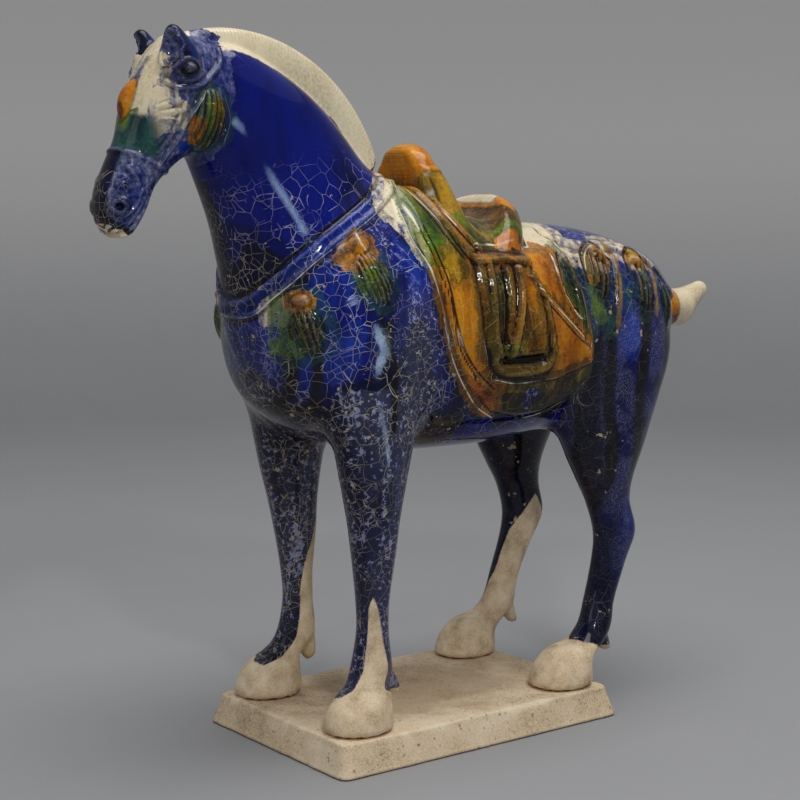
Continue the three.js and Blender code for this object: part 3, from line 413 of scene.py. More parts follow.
def arch_frame(form, y, z):
    """Height up an arch's lean, and distance in front of its middle."""
    (foot_y, foot_z), (top_y, top_z) = form["foot"], form["top"]
    length = math.hypot(top_y - foot_y, top_z - foot_z)
    up = ((top_y - foot_y) / length, (top_z - foot_z) / length)
    height = (y - foot_y) * up[0] + (z - foot_z) * up[1]
    return height, (y - foot_y) * up[1] - (z - foot_z) * up[0], length


def arch_distance(form, x, y, z):
    height, off, length = arch_frame(form, y, z)
    past = [np.abs(x) - section_at(form["widths"], height)[0], np.abs(off) - form["thick"], height - length]
    inner = [v + ARCH_ROUND for v in past]
    outside = np.sqrt(sum(np.maximum(v, 0) ** 2 for v in inner))
    return outside + np.minimum(np.maximum(np.maximum(inner[0], inner[1]), inner[2]), 0) - ARCH_ROUND


def saddle_distance(x, y, z):
    arches = blend(arch_distance(POMMEL, x, y, z), arch_distance(CANTLE, x, y, z), 1)
    return np.maximum(blend(arches, ellipsoid(SEAT, x, y, z), 2.5), SEAT["centre"][2] - z)


# The forms in the order in which they are joined, each with the fillet where it meets the ones before
JOINED = [
    (
        Form(
            both_sides([(w, y, z + s * h) for y, z, w, h in TRUNK["rows"] for s in (-1, 1)]),
            lambda x, y, z: lofted(TRUNK, y, x, z),
        ),
        1,
    ),
    (Form(both_sides(upright_corners(NECK)), lambda x, y, z: lofted(NECK, z, x, y)), 6),
    (
        Form(
            both_sides([from_head_frame(w, a, f + s * d) for a, f, w, d in HEAD["rows"] for s in (-1, 1)]),
            head_distance,
        ),
        2.5,
    ),
    (Form(both_sides(upright_corners(FORELEG)), foreleg_distance), 4),
    (Form(both_sides(upright_corners(HINDLEG)), hindleg_distance), 5),
    (
        Form(
            both_sides([[c + s * h for c, h in zip(HAUNCH["centre"], HAUNCH["half"])] for s in (-1, 1)]),
            lambda x, y, z: ellipsoid(HAUNCH, np.abs(x), y, z),
        ),
        4,
    ),
    (
        Form(
            rod_corners(TAIL_ROOT) + rod_corners(TAIL_TIP),
            lambda x, y, z: blend(rod(TAIL_ROOT, x, y, z), rod(TAIL_TIP, x, y, z), 1),
        ),
        2,
    ),
    (
        Form(
            both_sides(upright_corners(HOOF, *FORE_HOOF) + upright_corners(HOOF, *HIND_HOOF)),
            hoof_distance,
        ),
        1.2,
    ),
    (Form(both_sides(rod_corners(FORE_TUFT) + rod_corners(HIND_TUFT)), tuft_distance), 1),
    (
        Form(
            both_sides(
                [
                    (MANE["half"], MANE["y"] + s * MANE["outer"], MANE["z"] + max(s, 0) * MANE["outer"])
                    for s in (-1, 1)
                ]
            ),
            mane_distance,
        ),
        0.6,
    ),
    (
        Form(
            both_sides([[c + s * h for c, h in zip(EAR["centre"], EAR["half"])] for s in (-1, 1)]),
            ear_distance,
        ),
        0.8,
    ),
    (
        Form(
            both_sides([(p["widths"][0][1], *p[end]) for p in (POMMEL, CANTLE) for end in ("foot", "top")]),
            saddle_distance,
        ),
        0.8,
    ),
]


def body(points):
    """Distance to the whole figure, cut flat at its soles."""
    distance = np.full(len(points), 1e3)
    for form, fillet in JOINED:
        distance = blend(distance, form.at(points), fillet)
    return np.maximum(distance, -points[:, 2])


# Drawing in the side view (y, z), on both flanks alike


def curve(points, steps=6):
    """Points of a smooth line through the given ones."""
    p = np.array(points, float)
    p = np.vstack([2 * p[0] - p[1], p, 2 * p[-1] - p[-2]])
    line = []
    for a, b, c, d in zip(p, p[1:], p[2:], p[3:]):
        square = 2 * a - 5 * b + 4 * c - d
        cube = 3 * b - a - 3 * c + d
        for s in np.arange(steps) / steps:
            line.append(0.5 * (2 * b + (c - a) * s + square * s**2 + cube * s**3))
    line.append(p[-2])
    return np.array(line)


def line_distance(points, y, z, closed=False):
    """Distance to a line of points, below zero inside it where it is closed."""
    points = np.asarray(points, float)
    starts = points if closed else points[:-1]
    ends = np.roll(points, -1, axis=0) if closed else points[1:]
    best = np.full(y.shape, 1e6)
    inside = np.zeros(y.shape, bool)
    for (ay, az), (by, bz) in zip(starts, ends):
        dy, dz = by - ay, bz - az
        length2 = dy * dy + dz * dz
        if length2 == 0:
            continue
        t = np.clip(((y - ay) * dy + (z - az) * dz) / length2, 0, 1)
        best = np.minimum(best, (y - ay - dy * t) ** 2 + (z - az - dz * t) ** 2)
        if closed and dz != 0:
            inside ^= ((az > z) != (bz > z)) & (y < ay + dy * (z - az) / dz)
    best = np.sqrt(best)
    return np.where(inside, -best, best)


FAR = 6  # figure units beyond a shape where its exact distance no longer matters


def near_points(points, distance):
    """Works a shape's distance out only near it, and gives a plain distance to its box elsewhere."""
    low = np.min(points, axis=0)
    high = np.max(points, axis=0)

    def inside(y, z):
        away = np.hypot(np.maximum(np.maximum(low[0] - y, y - high[0]), 0),
                        np.maximum(np.maximum(low[1] - z, z - high[1]), 0))
        result = -away - TINY
        near = away < FAR
        result[near] = distance(y[near], z[near])
        return result

    return inside


def stroke(points, half, steps=6):
    """A painted line: how far inside it a point is."""
    line = curve(points, steps)
    return near_points(line, lambda y, z: half - line_distance(line, y, z))


def area(points, steps=4):
    """A painted area inside a smooth closed outline."""
    outline = curve(list(points) + [points[0]], steps)[:-1] if steps else np.array(points, float)
    return near_points(outline, lambda y, z: -line_distance(outline, y, z, closed=True))


def across(line, y, z):
    """Distance to a line of points, below zero on its right-hand side."""
    best = np.full(y.shape, 1e6)
    side = np.ones(y.shape)
    for (ay, az), (by, bz) in zip(line[:-1], line[1:]):
        dy, dz = by - ay, bz - az
        t = np.clip(((y - ay) * dy + (z - az) * dz) / max(dy * dy + dz * dz, TINY), 0, 1)
        away = (y - ay - dy * t) ** 2 + (z - az - dz * t) ** 2
        nearer = away < best
        best = np.where(nearer, away, best)
        side = np.where(nearer, np.where(dy * (z - az) > dz * (y - ay), 1.0, -1.0), side)
    return np.sqrt(best) * side


def trace(points, half):
    """A thin painted line."""
    return curve(points, 6), half


def oval_place(y, z, centre, across, along, lean):
    """Shares of an oval's two half sizes at a place, its length leaning back by so many degrees."""
    c = math.cos(math.radians(lean))
    n = math.sin(math.radians(lean))
    dy, dz = y - centre[0], z - centre[1]
    return (dy * c + dz * n) / across, (dz * c - dy * n) / along


def spot(centre, across, along, lean=0.0):
    """A painted oval."""

    def inside(y, z):
        u, v = oval_place(y, z, centre, across, along, lean)
        r = np.hypot(u, v)
        slope = np.hypot(u / across, v / along)
        return -r * (r - 1) / np.maximum(slope, TINY)

    return inside


def raised(shape, rise, soft=0.8):
    """Turns a drawn shape into relief of a height, with a soft edge."""
    return lambda y, z: rise * smooth(shape(y, z) / soft)


def domed(centre, across, along, lean, rise):
    def height(y, z):
        u, v = oval_place(y, z, centre, across, along, lean)
        return rise * np.maximum(1 - u * u - v * v, 0)

    return height


def tassel(centre, across, along, lean, rise, strands, depth=0.32):
    """A domed leaf combed into strands."""

    def height(y, z):
        u, v = oval_place(y, z, centre, across, along, lean)
        leaf = np.maximum(1 - u * u - v * v, 0)
        comb = 0.5 + 0.5 * np.cos(2 * np.pi * strands * u / 2)
        return rise * leaf**0.7 - depth * (1 - comb) * smooth(leaf * 4)

    return height


# The saddle cloth, its tied-up flap and the folds that hang from the knot
CLOTH_FRONT = [
    (-8.5, 82.0), (-9.7, 76.2), (-10.4, 69.2), (-8.2, 62.1), (-5.2, 53.3), (0.5, 47.2), (3.5, 44.9),
]
CLOTH_BACK = [
    (3.5, 44.9), (10.0, 43.9), (17.5, 45.4), (21.9, 50.0), (20.8, 58.5), (19.6, 65.0), (19.3, 70.0),
    (18.0, 80.0),
]
CLOTH = np.vstack([curve(CLOTH_FRONT), curve(CLOTH_BACK)])
FLAP = [
    (-1.2, 67.5), (-1.4, 63.3), (-0.5, 56.0), (0.8, 52.2), (3.6, 50.1), (13.4, 49.2), (21.4, 51.4),
    (21.0, 53.4), (18.2, 56.0), (10.7, 63.3), (10.3, 67.5),
]
SUNK_PANEL = [
    (16.6, 67.2), (15.7, 63.5), (16.6, 60.3), (18.3, 58.6), (18.9, 61.0), (18.8, 65.0), (18.0, 68.6),
]
KNOT = [(-0.6, 67.3), (5.0, 67.2), (10.4, 66.7)]
LOOP_RIM = [(1.3, 54.8), (1.7, 52.2), (4.3, 51.0), (10.8, 51.5), (12.1, 53.9)]
SADDLERY = [
    raised(near_points(CLOTH, lambda y, z: -line_distance(CLOTH, y, z, closed=True)), 0.5, 0.6),
    raised(stroke([
        (-11.2, 76.0), (-11.5, 70.6), (-9.6, 66.5), (-7.6, 60.0), (-5.0, 53.3), (0.0, 47.6),
    ], 0.45),
           0.22, 0.4),
    raised(stroke([(-9.3, 76.2), (-9.3, 71.3), (-7.9, 65.9), (-6.4, 61.7), (-4.9, 55.3), (-1.1, 50.4)], 0.4),
           -0.3, 0.4),
    raised(area(FLAP, 0), 0.75, 0.9),
    raised(stroke(KNOT, 1.05), 0.7, 0.7),
    raised(stroke([(-3.1, 79.5), (-2.7, 76.6), (-2.1, 73.1), (1.2, 68.7)], 0.8), 0.5, 0.6),
    raised(stroke([(-5.8, 79.5), (-5.2, 75.5), (-4.0, 71.8), (-1.4, 67.9)], 0.75), 0.5, 0.5),
    raised(stroke([(1.3, 66.1), (1.0, 57.4), (2.2, 53.8)], 0.8), 0.6, 0.6),
    raised(stroke([(4.2, 65.5), (3.8, 60.0), (3.3, 55.5)], 0.8), -0.7, 0.6),
    raised(stroke([(6.8, 65.5), (6.4, 61.6), (4.9, 55.7), (4.4, 53.4)], 0.85), 0.85, 0.6),
    raised(stroke([(10.8, 65.0), (11.1, 61.0), (12.1, 54.0)], 0.55), 0.55, 0.45),
    raised(stroke([(9.6, 64.2), (14.5, 59.4), (18.6, 55.4)], 0.5), 0.45, 0.45),
    raised(stroke(LOOP_RIM, 0.65), 0.55, 0.5),
    raised(stroke([(3.4, 52.8), (7.0, 52.7), (10.4, 52.9)], 0.9), -0.95, 0.6),
    raised(area(SUNK_PANEL), -0.45, 0.6),
    raised(stroke([(16.6, 67.2), (15.7, 63.5), (16.6, 60.3), (18.3, 58.6)], 0.35), 0.3, 0.35),
]
SPINE = 3
SPINE_FADE = 4

BREAST_STRAP = [
    (-8.0, 79.5), (-11.0, 77.9), (-16.7, 74.7), (-20.5, 72.6), (-24.4, 70.2), (-27.5, 67.7), (-29.8, 65.0),
    (-31.2, 63.0), (-32.5, 60.8), (-34.5, 59.6), (-37.0, 59.2),
]
CRUPPER = [
    (18.5, 70.6), (23.0, 69.3), (28.0, 69.1), (32.0, 68.7), (36.0, 67.3), (40.0, 65.2), (44.0, 62.4),
    (48.0, 60.4),
]
# Tassels: centre, half sizes across and along, lean, rise, strands
TASSELS = [
    ((-18.8, 65.3), 2.5, 3.9, 17, 0.95, 7),
    ((-27.7, 58.4), 1.4, 3.4, 14, 0.85, 5),
    ((24.8, 64.6), 2.0, 3.9, -18, 1.0, 4),
    ((32.9, 62.6), 1.7, 4.2, -5, 1.0, 4),
    ((39.2, 60.0), 1.4, 3.9, -4, 0.95, 3),
]
HARNESS = [
    raised(stroke(BREAST_STRAP, 1.0), 0.45, 0.3),
    raised(stroke(BREAST_STRAP, 0.62), -0.2, 0.25),
    raised(stroke([(y - 0.6, z + 1.25) for y, z in BREAST_STRAP], 0.35), -0.3, 0.35),
    raised(stroke(CRUPPER, 0.9), 0.45, 0.5),
    *[tassel(*values) for values in TASSELS],
    domed((-20.0, 70.0), 1.7, 1.4, 20, 0.8),
    raised(stroke([(-20.4, 70.3), (-22.8, 69.2), (-25.0, 67.5)], 0.8), 0.4, 0.7),
    domed((-28.3, 62.3), 0.9, 0.95, 0, 0.7),
    domed((26.0, 67.4), 1.5, 1.3, 0, 1.05),
    domed((33.5, 66.5), 1.3, 1.2, 0, 1.0),
    raised(stroke([(29.5, 67.4), (27.8, 63.5), (27.1, 60.2), (26.3, 57.0)], 0.5), 0.35, 0.5),
    raised(stroke([(36.8, 65.0), (36.5, 62.5), (35.0, 59.9)], 0.5), 0.3, 0.5),
]

CHEEK_TASSEL = ((-39.4, 86.9), 2.7, 4.1, -8, 1.1, 6)
THROAT = (-35, 69)
UPPER_LID = [(-45.0, 93.5), (-44.1, 94.5), (-42.8, 94.7), (-41.6, 93.9)]
LOWER_LID = [(-45.5, 92.8), (-44.4, 91.95), (-42.4, 92.0), (-41.2, 92.7)]
CHEEK_BAND = [(-45.4, 91.7), (-43.8, 90.95), (-41.2, 91.4), (-39.0, 92.7), (-37.2, 94.5), (-36.8, 96.4)]
CHEEK_STRAP = [(-40.6, 90.4), (-41.9, 88.4), (-43.2, 86.2), (-44.2, 83.8), (-46.3, 80.8)]
MOUTH = [(-52.2, 71.3), (-50.5, 72.4), (-49.1, 74.1), (-48.1, 75.7), (-47.0, 77.5)]
NOSTRIL = (-52.1, 75.2)
HEADWORK = [
    domed((-43.1, 93.45), 1.0, 0.8, 20, 0.85),
    raised(stroke(UPPER_LID, 0.38), 0.22, 0.4),
    raised(stroke(LOWER_LID, 0.5), 0.25, 0.45),
    raised(stroke(CHEEK_BAND, 0.6), 0.45, 0.55),
    raised(stroke(CHEEK_STRAP, 0.5), 0.3, 0.45),
    raised(stroke([(-43.0, 89.6), (-44.0, 87.2), (-45.0, 84.8), (-46.6, 82.4)], 0.4), 0.3, 0.35),
    tassel(*CHEEK_TASSEL, 0.25),
    domed((-45.6, 88.7), 2.0, 0.55, 20, 0.3),
    domed((-45.2, 87.7), 2.2, 0.55, 8, 0.36),
    domed((-45.3, 86.7), 1.8, 0.55, -4, 0.32),
    domed(NOSTRIL, 1.5, 1.6, -20, 0.6),
    domed(NOSTRIL, 0.6, 0.65, -20, -0.9),
    raised(stroke(MOUTH, 0.4), -0.45, 0.4),
    raised(stroke([(-51.4, 73.9), (-49.9, 75.4), (-49.0, 77.4)], 0.4), 0.3, 0.4),
    raised(stroke([(-50.6, 80.4), (-49.6, 78.6), (-49.6, 76.8)], 0.5), 0.35, 0.5),
    domed((-51.6, 78.4), 1.1, 1.6, -14, 0.4),
]
NOSEBAND = {"along": 16.8, "half": 0.55, "rise": 0.24, "soft": 0.5}
LEAF = {"along": 9.6, "half_length": 2.9, "half_width": 1.9, "rise": 1.0}
FACE_BACK = -6
FACE_END = 24


def face_relief(x, y, z):
    along, face = head_frame(y, z)
    from_edge = NOSEBAND["half"] - np.abs(along - NOSEBAND["along"])
    nose = NOSEBAND["rise"] * smooth(from_edge / NOSEBAND["soft"])
    share = (x / LEAF["half_width"]) ** 2 + ((along - LEAF["along"]) / LEAF["half_length"]) ** 2
    leaf = np.where(face > 0, LEAF["rise"] * np.maximum(1 - share, 0), 0)
    return np.where((face < FACE_BACK) | (along > FACE_END), 0, nose + leaf)


def relief(points):
    """Height of all relief at points of the body's surface, along its normal."""
    x, y, z = points.T
    result = np.zeros(len(points))
    head = (y < THROAT[0]) & (z > THROAT[1])
    for work in HEADWORK:
        result[head] += work(y[head], z[head])
    result[head] += face_relief(x[head], y[head], z[head])
    trunk = ~head & (z > 40)
    for work in HARNESS:
        result[trunk] += work(y[trunk], z[trunk])
    cloth = trunk & (y > -14) & (y < 25)
    fade = smooth((np.abs(x[cloth]) - SPINE) / SPINE_FADE)
    for work in SADDLERY:
        result[cloth] += work(y[cloth], z[cloth]) * fade
    return result


def surface_net(field, low, high, step):
    """One vertex for each cell that the surface crosses, and a quad for each crossed grid edge."""
    counts = np.ceil((high - low) / step).astype(int) + 1
    axes = [low[k] + step * np.arange(counts[k]) for k in range(3)]
    grid = np.stack(np.meshgrid(*axes, indexing="ij"), -1).reshape(-1, 3)
    values = field(grid).reshape(counts)
    inside = values < 0
    cells = counts - 1

    def corner(array, offset):
        return array[tuple(slice(o, o + n) for o, n in zip(offset, cells))]

    corners = [((c & 1), (c >> 1) & 1, c >> 2) for c in range(8)]
    number_inside = sum(corner(inside, offset).astype(np.int8) for offset in corners)
    active = (number_inside > 0) & (number_inside < 8)
    index = np.full(cells, -1)
    index[active] = np.arange(active.sum())
    at = np.argwhere(active)
    total = np.zeros((len(at), 3))
    number = np.zeros(len(at))
    for c in range(8):
        for axis in range(3):
            if c >> axis & 1:
                continue
            a = np.array(corners[c])
            b = np.array(corners[c | 1 << axis])
            value_a = values[tuple((at + a).T)]
            value_b = values[tuple((at + b).T)]
            crossing = (value_a < 0) != (value_b < 0)
            t = value_a[crossing] / (value_a[crossing] - value_b[crossing])
            total[crossing] += a + (b - a) * t[:, None]
            number[crossing] += 1
    points = low + (at + total / number[:, None]) * step
    faces = []
    for axis in range(3):
        u, w = (axis + 1) % 3, (axis + 2) % 3
        here = np.take(inside, range(counts[axis] - 1), axis)
        there = np.take(inside, range(1, counts[axis]), axis)
        place = np.argwhere(here != there)
        place = place[(place[:, u] > 0) & (place[:, w] > 0)]
        step_u = np.eye(3, dtype=int)[u]
        step_w = np.eye(3, dtype=int)[w]
        quad = np.stack(
            [index[tuple((place - s).T)] for s in (0 * step_u, step_u, step_u + step_w, step_w)], axis=1
        )
        flip = ~here[tuple(place.T)]
        quad[flip] = quad[flip][:, ::-1]
        faces += [quad[:, [0, 1, 2]], quad[:, [0, 2, 3]]]
    return points, np.vstack(faces)


PROBE = 0.02


def gradient(field, points, distance):
    slopes = []
    for axis in range(3):
        moved = points.copy()
        moved[:, axis] += PROBE
        slopes.append((field(moved) - distance) / PROBE)
    return np.stack(slopes, axis=1)


def settle(points, step):
    """Moves points onto the surface and gives the outward direction at each."""
    distance = body(points)
    slope = gradient(body, points, distance)
    square = (slope**2).sum(1)
    move = np.clip(distance / np.maximum(square, 0.04), -0.4 * step, 0.4 * step)
    return points - slope * move[:, None], slope / np.maximum(np.sqrt(square), 0.2)[:, None]


def edges_of(faces):
    pairs = np.sort(faces[:, [[0, 1], [1, 2], [2, 0]]], axis=2).reshape(-1, 2)
    return np.unique(pairs, axis=0, return_inverse=True)


def relax(points, faces, share=0.5):
    """Moves each point towards the middle of its neighbours."""
    edges, _ = edges_of(faces)
    ends = np.concatenate([edges, edges[:, ::-1]])
    number = np.bincount(ends[:, 0], minlength=len(points))
    start, end = ends.T
    total = [np.bincount(start, weights=points[end, k], minlength=len(points)) for k in range(3)]
    mean = np.stack(total, axis=1)
    return points + share * (mean / np.maximum(number, 1)[:, None] - points)


def refine(points, faces, wanted):
    """Splits every edge whose middle is wanted finer."""
    edges, inverse = edges_of(faces)
    middles = points[edges].mean(1)
    marked = wanted(middles)
    middle = np.full(len(edges), -1)
    middle[marked] = len(points) + np.arange(marked.sum())
    points = np.vstack([points, middles[marked]])
    on_edge = middle[inverse.reshape(-1)].reshape(-1, 3)
    has = on_edge >= 0
    count = has.sum(1)
    result = [faces[count == 0]]
    for turn in range(3):
        f = np.roll(faces, -turn, axis=1)
        e = np.roll(on_edge, -turn, axis=1)
        h = np.roll(has, -turn, axis=1)
        one = h[:, 0] & (count == 1)
        a, b, c = f[one].T
        ab = e[one, 0]
        result += [np.stack([a, ab, c], 1), np.stack([ab, b, c], 1)]
        two = h[:, 0] & h[:, 1] & (count == 2)
        a, b, c = f[two].T
        ab, bc = e[two, 0], e[two, 1]
        result += [np.stack([ab, b, bc], 1), np.stack([a, ab, bc], 1), np.stack([a, bc, c], 1)]
    three = count == 3
    a, b, c = faces[three].T
    ab, bc, ca = on_edge[three].T
    result += [np.stack(corners, 1) for corners in ((a, ab, ca), (ab, b, bc), (bc, c, ca), (ab, bc, ca))]
    return points, np.vstack(result)


# Where the mesh is refined once and twice, in the side view
FINE = [
    area([(-36, 101), (-57, 101), (-57, 69), (-44, 69), (-34, 86)], 0),
    area([(-9, 84), (-13, 74), (-9, 52), (2, 43), (20, 43), (24, 52), (22, 72), (16, 80), (2, 86)], 0),
    stroke(BREAST_STRAP, 2.2),
    stroke(CRUPPER, 1.8),
    spot((-19.4, 66.4), 3.4, 6.0, 12),
    spot((-27.9, 59.9), 2.6, 5.6, 6),
    spot((26.2, 65), 3.0, 5.4),
    spot((33.9, 63.6), 2.8, 5.6, 6),
    spot((40.2, 61), 2.3, 5.0, 6),
]
FINER = [
    area([(-37, 101), (-57, 101), (-57, 69), (-46, 69), (-37, 84)], 0),
    spot((-19.4, 66.4), 2.9, 5.4, 12),
    spot((-27.9, 59.9), 2.2, 5.2, 6),
    spot((26.2, 65), 2.6, 5.0),
    spot((33.9, 63.6), 2.4, 5.0, 6),
    spot((40.2, 61), 1.9, 4.4, 6),
]

# Ears, lips and saddle arches are refined all over, and the rest only where relief or a line is near
ALL_OVER = [
    spot((-43.4, 98.4), 3.8, 5.6),
    area([(-57, 69), (-57, 76), (-50, 78), (-46, 75), (-46, 69)], 0),
    area([(-7, 90), (-7, 76), (-1, 69), (18, 69), (18, 80), (2, 90)], 0),
]
FINE_FROM = 40.0
# Least difference of the relief, the reach it is taken over and the reach beside a line, in each cut
FIRST_CUT = (0.015, 0.8, 0.6)
SECOND_CUT = (0.045, 0.5, 0.35)
# The band along the mane's outer edge that is cut once more
MANE_WIDTH = 5.0
MANE_RIM = 1
MANE_FRONT = -40
MANE_BACK = -5
MANE_FOOT = 74
MANE_HALVES = 2.5


def in_any(shapes, y, z):
    return np.any([shape(y, z) > 0 for shape in shapes], axis=0)


def near_lines(y, z, reach):
    """Where a drawn line is within reach."""
    result = np.zeros(len(y), bool)
    for name, shape in BODY_PAINT + CLOTH_PAINT + HEAD_PAINT:
        if name in LINES:
            line, half = shape
            low, high = line.min(0) - reach, line.max(0) + reach
            near = (y > low[0]) & (y < high[0]) & (z > low[1]) & (z < high[1])
            result[near] |= line_distance(line, y[near], z[near]) < half + reach
    return result


def relief_around(points, reach):
    """Mean of the relief at four places round each point."""
    steps = ((0, reach, 0), (0, -reach, 0), (0, 0, reach), (0, 0, -reach))
    return sum(relief(points + step) for step in steps) / 4


def detailed(shapes, difference, reach, line_reach):
    """Wants the shapes refined where the relief differs from that around it, and beside drawn lines."""

    def wanted(points):
        _, y, z = points.T
        result = in_any(shapes, y, z) & (z > FINE_FROM)
        uneven = np.abs(relief(points) - relief_around(points, reach)) > difference
        return result & (uneven | near_lines(y, z, line_reach) | in_any(ALL_OVER, y, z))

    return wanted


def mane_edge(points):
    x, y, z = points.T
    radius = np.hypot(y - MANE["y"], z - MANE["z"])
    in_band = (radius > MANE["outer"] - MANE_WIDTH) & (radius < MANE["outer"] + MANE_RIM)
    in_reach = (z > MANE_FOOT) & (y > MANE_FRONT) & (y < MANE_BACK)
    return in_reach & in_band & (np.abs(x) < MANE_HALVES * MANE["half"])


# The glazes, from the lowest coat to the topmost. Each is the distance inside its edge, in millimetres.
COATS = [
    "dark", "bright", "sheen", "steel", "ground", "cream", "teal", "green", "olive", "umber", "rust", "amber",
    "ink", "bare",
]
# Thin lines and narrow runs, each also kept as the distance across it in half widths
LINES = ["drip", "pale", "line", "streak"]
OVERLAP = 0.5


class Paint:
    """Coats laid over each other on the flanks, in the order in which they are painted."""

    def __init__(self, points, unit):
        self.x, self.y, self.z = points.T
        self.side = np.abs(self.x)
        self.unit = unit
        self.coats = {name: np.full(len(points), -FAR * unit) for name in COATS + LINES}
        self.across = {name: np.full(len(points), 9.0) for name in LINES}

    def lay(self, name, depth, where=None, gain=1.0):
        """Lays a coat where depth, in figure units, is above zero, and clears the coats above it."""
        depth = depth * self.unit * gain
        if where is not None:
            depth = np.where(where, depth, -FAR * self.unit)
        self.coats[name] = np.maximum(self.coats[name], depth)
        for higher in COATS[COATS.index(name) + 1:-1]:
            self.coats[higher] = np.minimum(self.coats[higher], OVERLAP - depth)

    def draw(self, name, line, half, where):
        low, high = line.min(0) - 2, line.max(0) + 2
        near = where & (self.y > low[0]) & (self.y < high[0]) & (self.z > low[1]) & (self.z < high[1])
        off = across(line, self.y[near], self.z[near])
        depth = (half - np.abs(off)) * self.unit
        nearer = depth > self.coats[name][near]
        self.coats[name][near] = np.where(nearer, depth, self.coats[name][near])
        self.across[name][near] = np.where(nearer, off / half, self.across[name][near])

    def table(self, rows, where, gain=1.0):
        for name, shape in rows:
            if name in LINES:
                self.draw(name, *shape, where)
                continue
            depth = np.full(len(self.y), -FAR)
            depth[where] = shape(self.y[where], self.z[where])
            self.lay(name, depth, where, gain)


def shifted(points, dy, dz):
    return [(y + dy, z + dz) for y, z in points]


